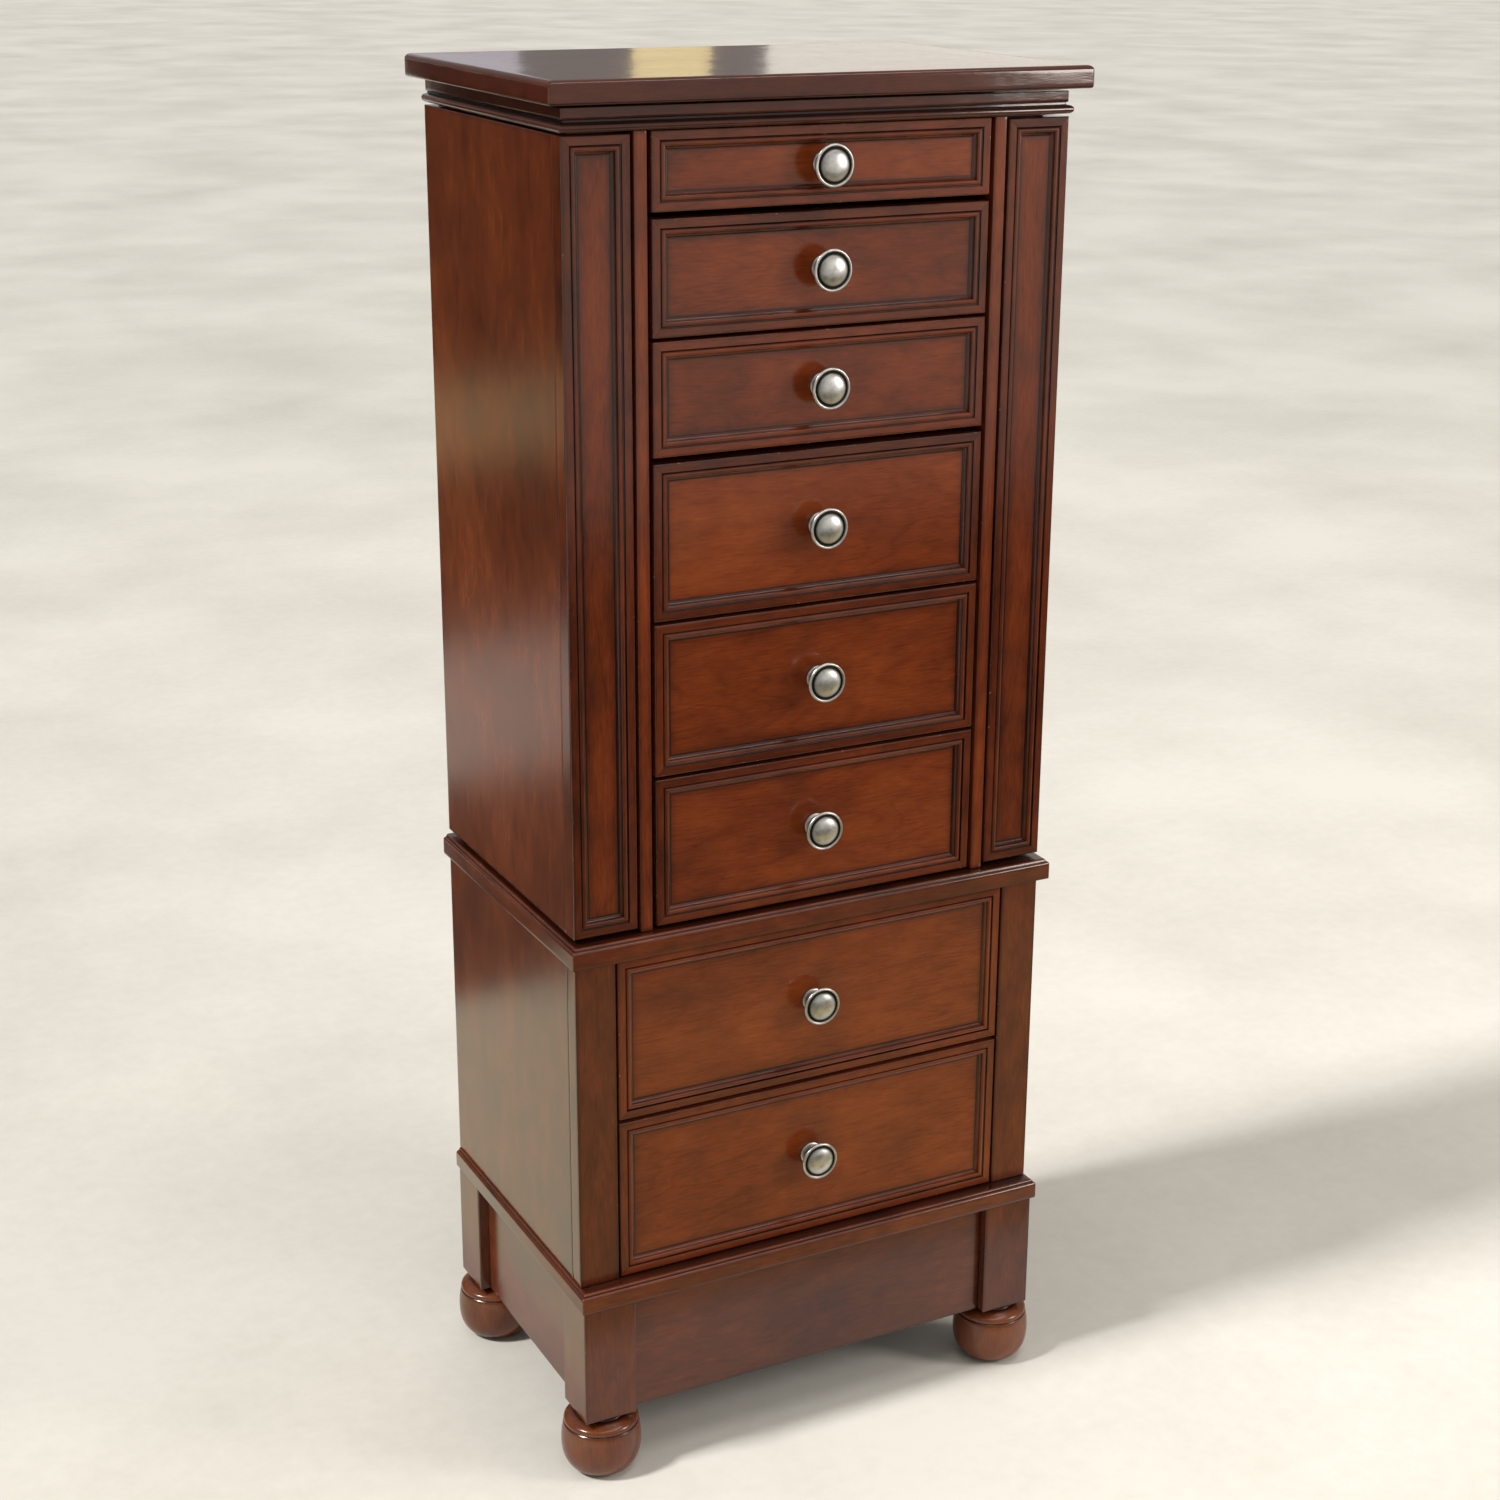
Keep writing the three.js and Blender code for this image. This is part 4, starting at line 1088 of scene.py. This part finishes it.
for side, sign in SIDES:
    body = "door_" + side
    node = side + "_door_panel"
    low, high = box(node)
    shape = Shape(node + "_board")
    board(shape, low, high, Z, 0.5, glaze=0.3)
    finish(shape, CHERRY, node)
    tray_low, tray_high = box(side + "_catch_tray")
    shape = Shape(side + "_catch_tray_boards")
    open_box(shape, tray_low, tray_high, TRAY_WALL, TRAY_WALL, 0.9)
    finish(shape, DRAWER_WOOD, side + "_catch_tray")
    lined(side + "_tray_flocking", tray_low, tray_high, TRAY_WALL, TRAY_WALL, body)
    strip_low = box(side + "_hook_strip")[0]
    wall = low.x if sign > 0 else high.x
    x = sorted((wall - sign * 0.04, wall - sign * 0.9))
    shape = Shape(side + "_door_flocking")
    board(
        shape, (x[0], tray_low.y + 1, tray_high.z + 1.5), (x[1], tray_high.y, strip_low.z - 3), Z,
        0.35, glaze=0, edge=0,
    )
    finish(shape, FLOCK, body=body, slot="velvet")
    hook_strip(side, sign)


# ---- hinges


KNUCKLE_RADIUS = 2.25


def hinge_leaf(name, node, plates, knuckles, pin, along, screws, out):
    """Leaf plates, knuckles round the pin line, and screw heads."""
    shape = Shape(name)
    for low, high in plates:
        board(shape, low, high, along, 0.3, glaze=0, edge=0)
    radius = KNUCKLE_RADIUS
    ease = 0.35
    for start, stop in knuckles:
        line = [(0, start, 0, 0), (radius - ease, start, 0, 0), (radius, start + ease, 0, 0)]
        line += [(radius, stop - ease, 0, 0), (radius - ease, stop, 0, 0), (0, stop, 0, 0)]

        def place(a, b, h):
            spot = [pin[0] + a, pin[1] + b, h]
            if along == X:
                spot = [h, pin[0] + a, pin[1] + b]
            return spot

        lathe(shape, line, place, along, 28)
    finish(shape, BRASS, node, sharp=35)
    if screws:
        heads = Shape(name + "_screws")
        for spot in screws:
            screw(heads, spot, out, 2.1, 0.6)
        finish(heads, STEEL, body=BODY_OF[node], slot="brass")


HINGE_GAP = 0.35
LEAF_THICKNESS = 1.2
PIN_INSET = 2.3
PIN_X = 186.0
LEAF_X = 170
DOOR_LEAF_X = 190

for side, sign in SIDES:
    fixed_low, fixed_high = box(side + "_hinge_fixed_leaf")
    door_low, door_high = box(side + "_hinge_door_leaf")
    pin = (sign * PIN_X, fixed_high.y - PIN_INSET)
    leaf_y = (fixed_low.y, fixed_low.y + LEAF_THICKNESS)
    thirds = (fixed_low.z, door_low.z - HINGE_GAP, door_high.z + HINGE_GAP, fixed_high.z)
    plates = []
    for z0, z1 in (thirds[:2], thirds[2:]):
        x = sorted((sign * LEAF_X, sign * (PIN_X - 0.2)))
        plates.append(((x[0], leaf_y[0], z0), (x[1], leaf_y[1], z1)))
    x = sorted((sign * LEAF_X, sign * (PIN_X - 6.2)))
    plates.append(((x[0], leaf_y[0], thirds[1] + 0.02), (x[1], leaf_y[1], thirds[2] - 0.02)))
    spots = [
        (sign * (LEAF_X + 5), leaf_y[1], fixed_low.z + (fixed_high.z - fixed_low.z) * share)
        for share in (0.05, 0.2, 0.35, 0.5, 0.65, 0.8, 0.95)
    ]
    knuckles = (thirds[:2], thirds[2:])
    hinge_leaf(
        side + "_hinge_fixed_metal", side + "_hinge_fixed_leaf", plates, knuckles, pin, Z,
        spots, (0, 1, 0),
    )
    x = sorted((sign * (PIN_X - 0.4), sign * DOOR_LEAF_X))
    plates = [((x[0], leaf_y[0], door_low.z), (x[1], leaf_y[1], door_high.z))]
    hinge_leaf(
        side + "_hinge_door_metal", side + "_hinge_door_leaf", plates,
        ((door_low.z, door_high.z),), pin, Z, (), (0, 1, 0),
    )

fixed_low, fixed_high = box("lid_hinge_fixed_leaf")
lid_low, lid_high = box("lid_hinge_lid_leaf")
pin_y = fixed_high.y - PIN_INSET
pin_z = fixed_high.z - 2.19
reach = (fixed_high.x - fixed_low.x) / 6
split = reach + HINGE_GAP
leaf_y = (fixed_low.y, fixed_low.y + LEAF_THICKNESS)
plates = [
    ((fixed_low.x, leaf_y[0], fixed_low.z), (-split, leaf_y[1], pin_z - 0.3)),
    ((split, leaf_y[0], fixed_low.z), (fixed_high.x, leaf_y[1], pin_z - 0.3)),
    ((-split + 0.02, leaf_y[0], fixed_low.z), (split - 0.02, leaf_y[1], pin_z - 3.1)),
]
hinge_leaf(
    "lid_hinge_fixed_metal", "lid_hinge_fixed_leaf", plates,
    ((fixed_low.x, -split), (split, fixed_high.x)), (pin_y, pin_z), X,
    [(x, leaf_y[1], fixed_low.z + 5) for x in range(-110, 111, 44)], (0, 1, 0),
)
leaf_z = (lid_high.z - LEAF_THICKNESS, lid_high.z)
plates = [
    ((lid_low.x, lid_low.y, leaf_z[0]), (lid_high.x, pin_y, leaf_z[1])),
    ((-reach, pin_y - 0.6, pin_z + 1.7), (reach, pin_y + 0.6, leaf_z[0] + 0.3)),
]
hinge_leaf(
    "lid_hinge_lid_metal", "lid_hinge_lid_leaf", plates, ((-reach, reach),), (pin_y, pin_z), X,
    (), (0, 0, -1),
)


# ---- lid

low, high = box("lid_slab")
leaf_low, leaf_high = box("lid_hinge_lid_leaf")
# The lid's lower arris is darker than its top, with glaze and painted shade under the overhang.
line = [(1.5, low.z, 0.4, 0.1), (0.65, low.z + 0.22, 0.35, 0.5), (0.17, low.z + 0.8, 0.3, 0.6)]
line += [(0.0, low.z + 1.8, 0.15, 0.2), (0.0, low.z + 4, 0.04, 0), (0.0, high.z - 4.6, 0.04, 0)]
line += [(a, b, 0.06, 0.45) for a, b in arc(3.9, high.z - 3.4, 3.9, 3.4, 180, 90, 8)]
shape = Shape("lid_board")
moulded_board(shape, high.x, low.y, high.y, line, 1.8, (4, 12, 30))
lid = finish(shape, CHERRY_TOP, "lid_slab", sharp=40)

# The rebate under the lid for the hinge leaf is cut by a plain block.
cutter_shape = Shape("lid_rebate")
board(
    cutter_shape, (leaf_low.x - 0.3, leaf_low.y - 0.3, low.z - 2),
    (leaf_high.x + 0.3, high.y + 4, leaf_high.z + 0.2), X, 0.05,
)
cutter = cutter_shape.build()
rebate = lid.modifiers.new("rebate", "BOOLEAN")
rebate.operation = "DIFFERENCE"
rebate.solver = "EXACT"
rebate.object = cutter
bpy.context.view_layer.update()
graph = bpy.context.evaluated_depsgraph_get()
cut_mesh = bpy.data.meshes.new_from_object(lid.evaluated_get(graph))
lid.modifiers.clear()
lid.data = cut_mesh
bpy.data.objects.remove(cutter)

low, high = box("lid_mirror_frame")
line = [(0.0, high.z, 0.4, 0), (0.0, low.z + 2.2, 0.2, 0.3)]
line += [(a, b, 0.1, 0.4) for a, b in arc(2.2, low.z + 2.2, 2.2, 2.2, 180, 270, 5)]
line += [(7.0, low.z, 0.05, 0), (8.0, low.z + 0.1, 0.5, 0.3), (8.4, low.z + 0.9, 1.0, 0)]
line += [(9.2, low.z + 1.0, 0.9, 0)]
line += [(a, b, 0.2, 0.1) for a, b in arc(13.4, low.z + 2.6, 4.2, 2.0, 205, 290, 6)]
line += [(17.2, low.z + 1.6, 0.3, 0.3), (18.0, low.z + 2.4, 0.6, 0), (18.0, high.z, 0.6, 0)]
shape = Shape("lid_mirror_frame_boards")
mitred_frame(
    shape, (low.x, high.x), (low.y, high.y), line, lambda a, b, h: (a, b, h), (X, Y), tone=0.1
)
finish(shape, CHERRY, "lid_mirror_frame", sharp=35)

low, high = box("lid_mirror")
shape = Shape("lid_mirror_glass")
loops = []
for inset, z in ((0.0, high.z), (0.0, low.z + 1.0), (0.3, low.z + 0.7), (10.0, low.z)):
    across, along = (low.x + inset, high.x - inset), (low.y + inset, high.y - inset)
    loops.append(plan_loop(across, along, z, 0.2))
loft(shape, loops, X)
finish(shape, MIRROR, "lid_mirror", sharp=3)


# ---- floor, light and camera


def floor_material():
    """Pale sealed concrete with faint clouds and specks."""
    tree = Tree("pale_floor")
    place = tree.node("TexCoord").outputs["Object"]
    clouds = tree.noise(place, (1.7, 1.7, 1.7), 5.0, 0.6)
    specks = tree.noise(place, (60, 60, 60), 4.0, 0.7)
    tone = tree.add(tree.math("MULTIPLY", clouds, 0.75), specks, 0.25)
    colour = tree.ramp(tone, ((0.3, (0.60, 0.58, 0.53)), (0.6, (0.74, 0.72, 0.67))))
    rough = tree.add(0.45, clouds, 0.3)
    return tree.shade(Base_Color=colour, Roughness=rough, Specular_IOR_Level=0.35)


def level(x, y, z):
    """Corners of a level rectangle, in metres."""
    return [(x[0], y[0], z), (x[1], y[0], z), (x[1], y[1], z), (x[0], y[1], z)]


def upright(x, y, z):
    """Corners of an upright rectangle that faces the front, in metres."""
    return [(x[0], y, z[0]), (x[1], y, z[0]), (x[1], y, z[1]), (x[0], y, z[1])]


def stage_plane(name, corners, material):
    """A flat piece of the studio, not of the armoire."""
    mesh = bpy.data.meshes.new(name)
    mesh.from_pydata(corners, [], [(0, 1, 2, 3)])
    mesh.materials.append(material)
    thing = add_object(name, mesh)
    thing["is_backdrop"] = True
    return thing


FLOOR_SPAN = (-60.0, 60.0)
stage_plane("floor", level(FLOOR_SPAN, FLOOR_SPAN, 0), floor_material())


def softbox(name, place, aim, size, power, colour):
    """A rectangular area light that looks at a point. Lengths are in metres."""
    data = bpy.data.lights.new(name, "AREA")
    data.shape = "RECTANGLE"
    data.size, data.size_y = size
    data.energy = power
    data.color = colour
    lamp = add_object(name, data)
    lamp.location = place
    lamp.rotation_euler = (Vector(aim) - Vector(place)).to_track_quat("-Z", "Y").to_euler()


softbox("front_right", (1.8, -1.6, 1.3), (0.0, -0.1, 0.7), (0.6, 0.9), 26, (1.0, 0.94, 0.86))
softbox("overhead", (0.4, -0.9, 3.0), (0.0, -0.2, 0.5), (2.6, 0.3), 14, (1.0, 0.97, 0.92))
softbox("warm_window", (1.31, 2.9, 1.5), (0.0, 0.0, 1.0), (0.15, 0.8), 0.36, (1.0, 0.78, 0.34))
softbox("pale_window", (2.2, 2.8, 1.5), (0.0, 0.0, 1.0), (1.35, 0.8), 3.2, (1.0, 0.93, 0.82))
softbox("cool_window", (0.5, 3.2, 1.5), (0.0, 0.0, 1.0), (1.2, 0.8), 1.3, (0.92, 0.88, 1.0))

sun = bpy.data.lights.new("key", "SUN")
sun.energy = 2.9
sun.angle = math.radians(8)
sun.color = (1.0, 0.975, 0.93)
key = add_object("key", sun)
key.rotation_euler = Vector((1.0, -0.02, -1.15)).to_track_quat("-Z", "Y").to_euler()


def flag(name, corners, shade):
    """A studio flag that only glossy reflections see. The dark ones paint dark surroundings and
    shade into the reflections, and the toned ones paint reflections of a lit floor.
    """
    material = Tree(name).shade(Base_Color=(*shade, 1), Roughness=1.0)
    thing = stage_plane(name, corners, material)
    thing.visible_camera = False
    thing.visible_diffuse = False
    thing.visible_shadow = False


DARK = (0.02, 0.018, 0.016)
LEFT_X = (-3.6, -0.45)
FRONT_X = (-1.4, 3.0)
ABOVE_FLOOR = 0.004
# flag_left_floor paints the shadow on the floor at the back left into the reflections in the left
# side.
flag("flag_left", upright(LEFT_X, 1.9, (0.42, 0.95)), DARK)
flag("flag_left_low", upright(LEFT_X, 1.9, (0.02, 0.30)), DARK)
flag("flag_left_floor", level((-2.4, -0.3), (0.72, 1.36), ABOVE_FLOOR), (0.05, 0.045, 0.035))
flag("flag_left_warm", level(LEFT_X, (1.95, 5.0), ABOVE_FLOOR), (0.62, 0.48, 0.26))
flag("flag_left_near", level((-2.4, -0.24), (-0.3, 0.71), ABOVE_FLOOR), (0.84, 0.92, 0.72))
flag("flag_front", upright(FRONT_X, -1.5, (0.0, 0.36)), DARK)
flag("flag_front_floor", level(FRONT_X, (-1.5, -0.95), ABOVE_FLOOR), DARK)
flag("flag_front_near", level(FRONT_X, (-0.94, -0.3), ABOVE_FLOOR), (0.34, 0.29, 0.15))


def studio_world():
    """A soft surround, brighter overhead and in front."""
    tree = Tree("studio", bpy.data.worlds, "Background")
    place = tree.node("TexCoord").outputs["Generated"]

    def lobe(aim, low, high, share):
        dot = tree.node("VectorMath", {"operation": "DOT_PRODUCT"})
        tree.set(dot, "0", place)
        tree.set(dot, "1", Vector(aim).normalized())
        span = tree.node("MapRange", {"interpolation_type": "SMOOTHSTEP"})
        for key, value in (
            ("Value", dot.outputs["Value"]), ("From Min", low), ("From Max", high),
            ("To Max", share),
        ):
            tree.set(span, key, value)
        return span.outputs[0]

    overhead = lobe((0, 0, 1), 0.0, 0.9, 0.20)
    in_front = lobe((0.4, -1.0, 0.05), 0.6, 0.95, 0.45)
    strength = tree.math("ADD", tree.math("ADD", overhead, in_front), 0.22)
    return tree.shade(Color=(1.0, 0.975, 0.93, 1), Strength=strength)


bpy.context.scene.world = studio_world()
bpy.context.scene.view_settings.view_transform = "Standard"

CAMERA_PLACE = Vector((-0.8286, -1.6354, 1.1416))
CAMERA_AIM = Vector((0.0, -0.0892, 0.5582))
CAMERA_ROLL = math.radians(0.66)
camera_data = bpy.data.cameras.new("camera")
camera_data.sensor_width = 36
camera_data.lens = 61.5
camera_data.shift_x = -0.0333
camera_data.shift_y = -0.0187
camera = add_object("camera", camera_data)
camera.location = CAMERA_PLACE
turn = (CAMERA_AIM - CAMERA_PLACE).to_track_quat("-Z", "Y").to_matrix()
camera.rotation_euler = (turn @ Matrix.Rotation(CAMERA_ROLL, 3, "Z")).to_euler()
bpy.context.scene.camera = camera

bpy.context.view_layer.update()
low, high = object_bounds()
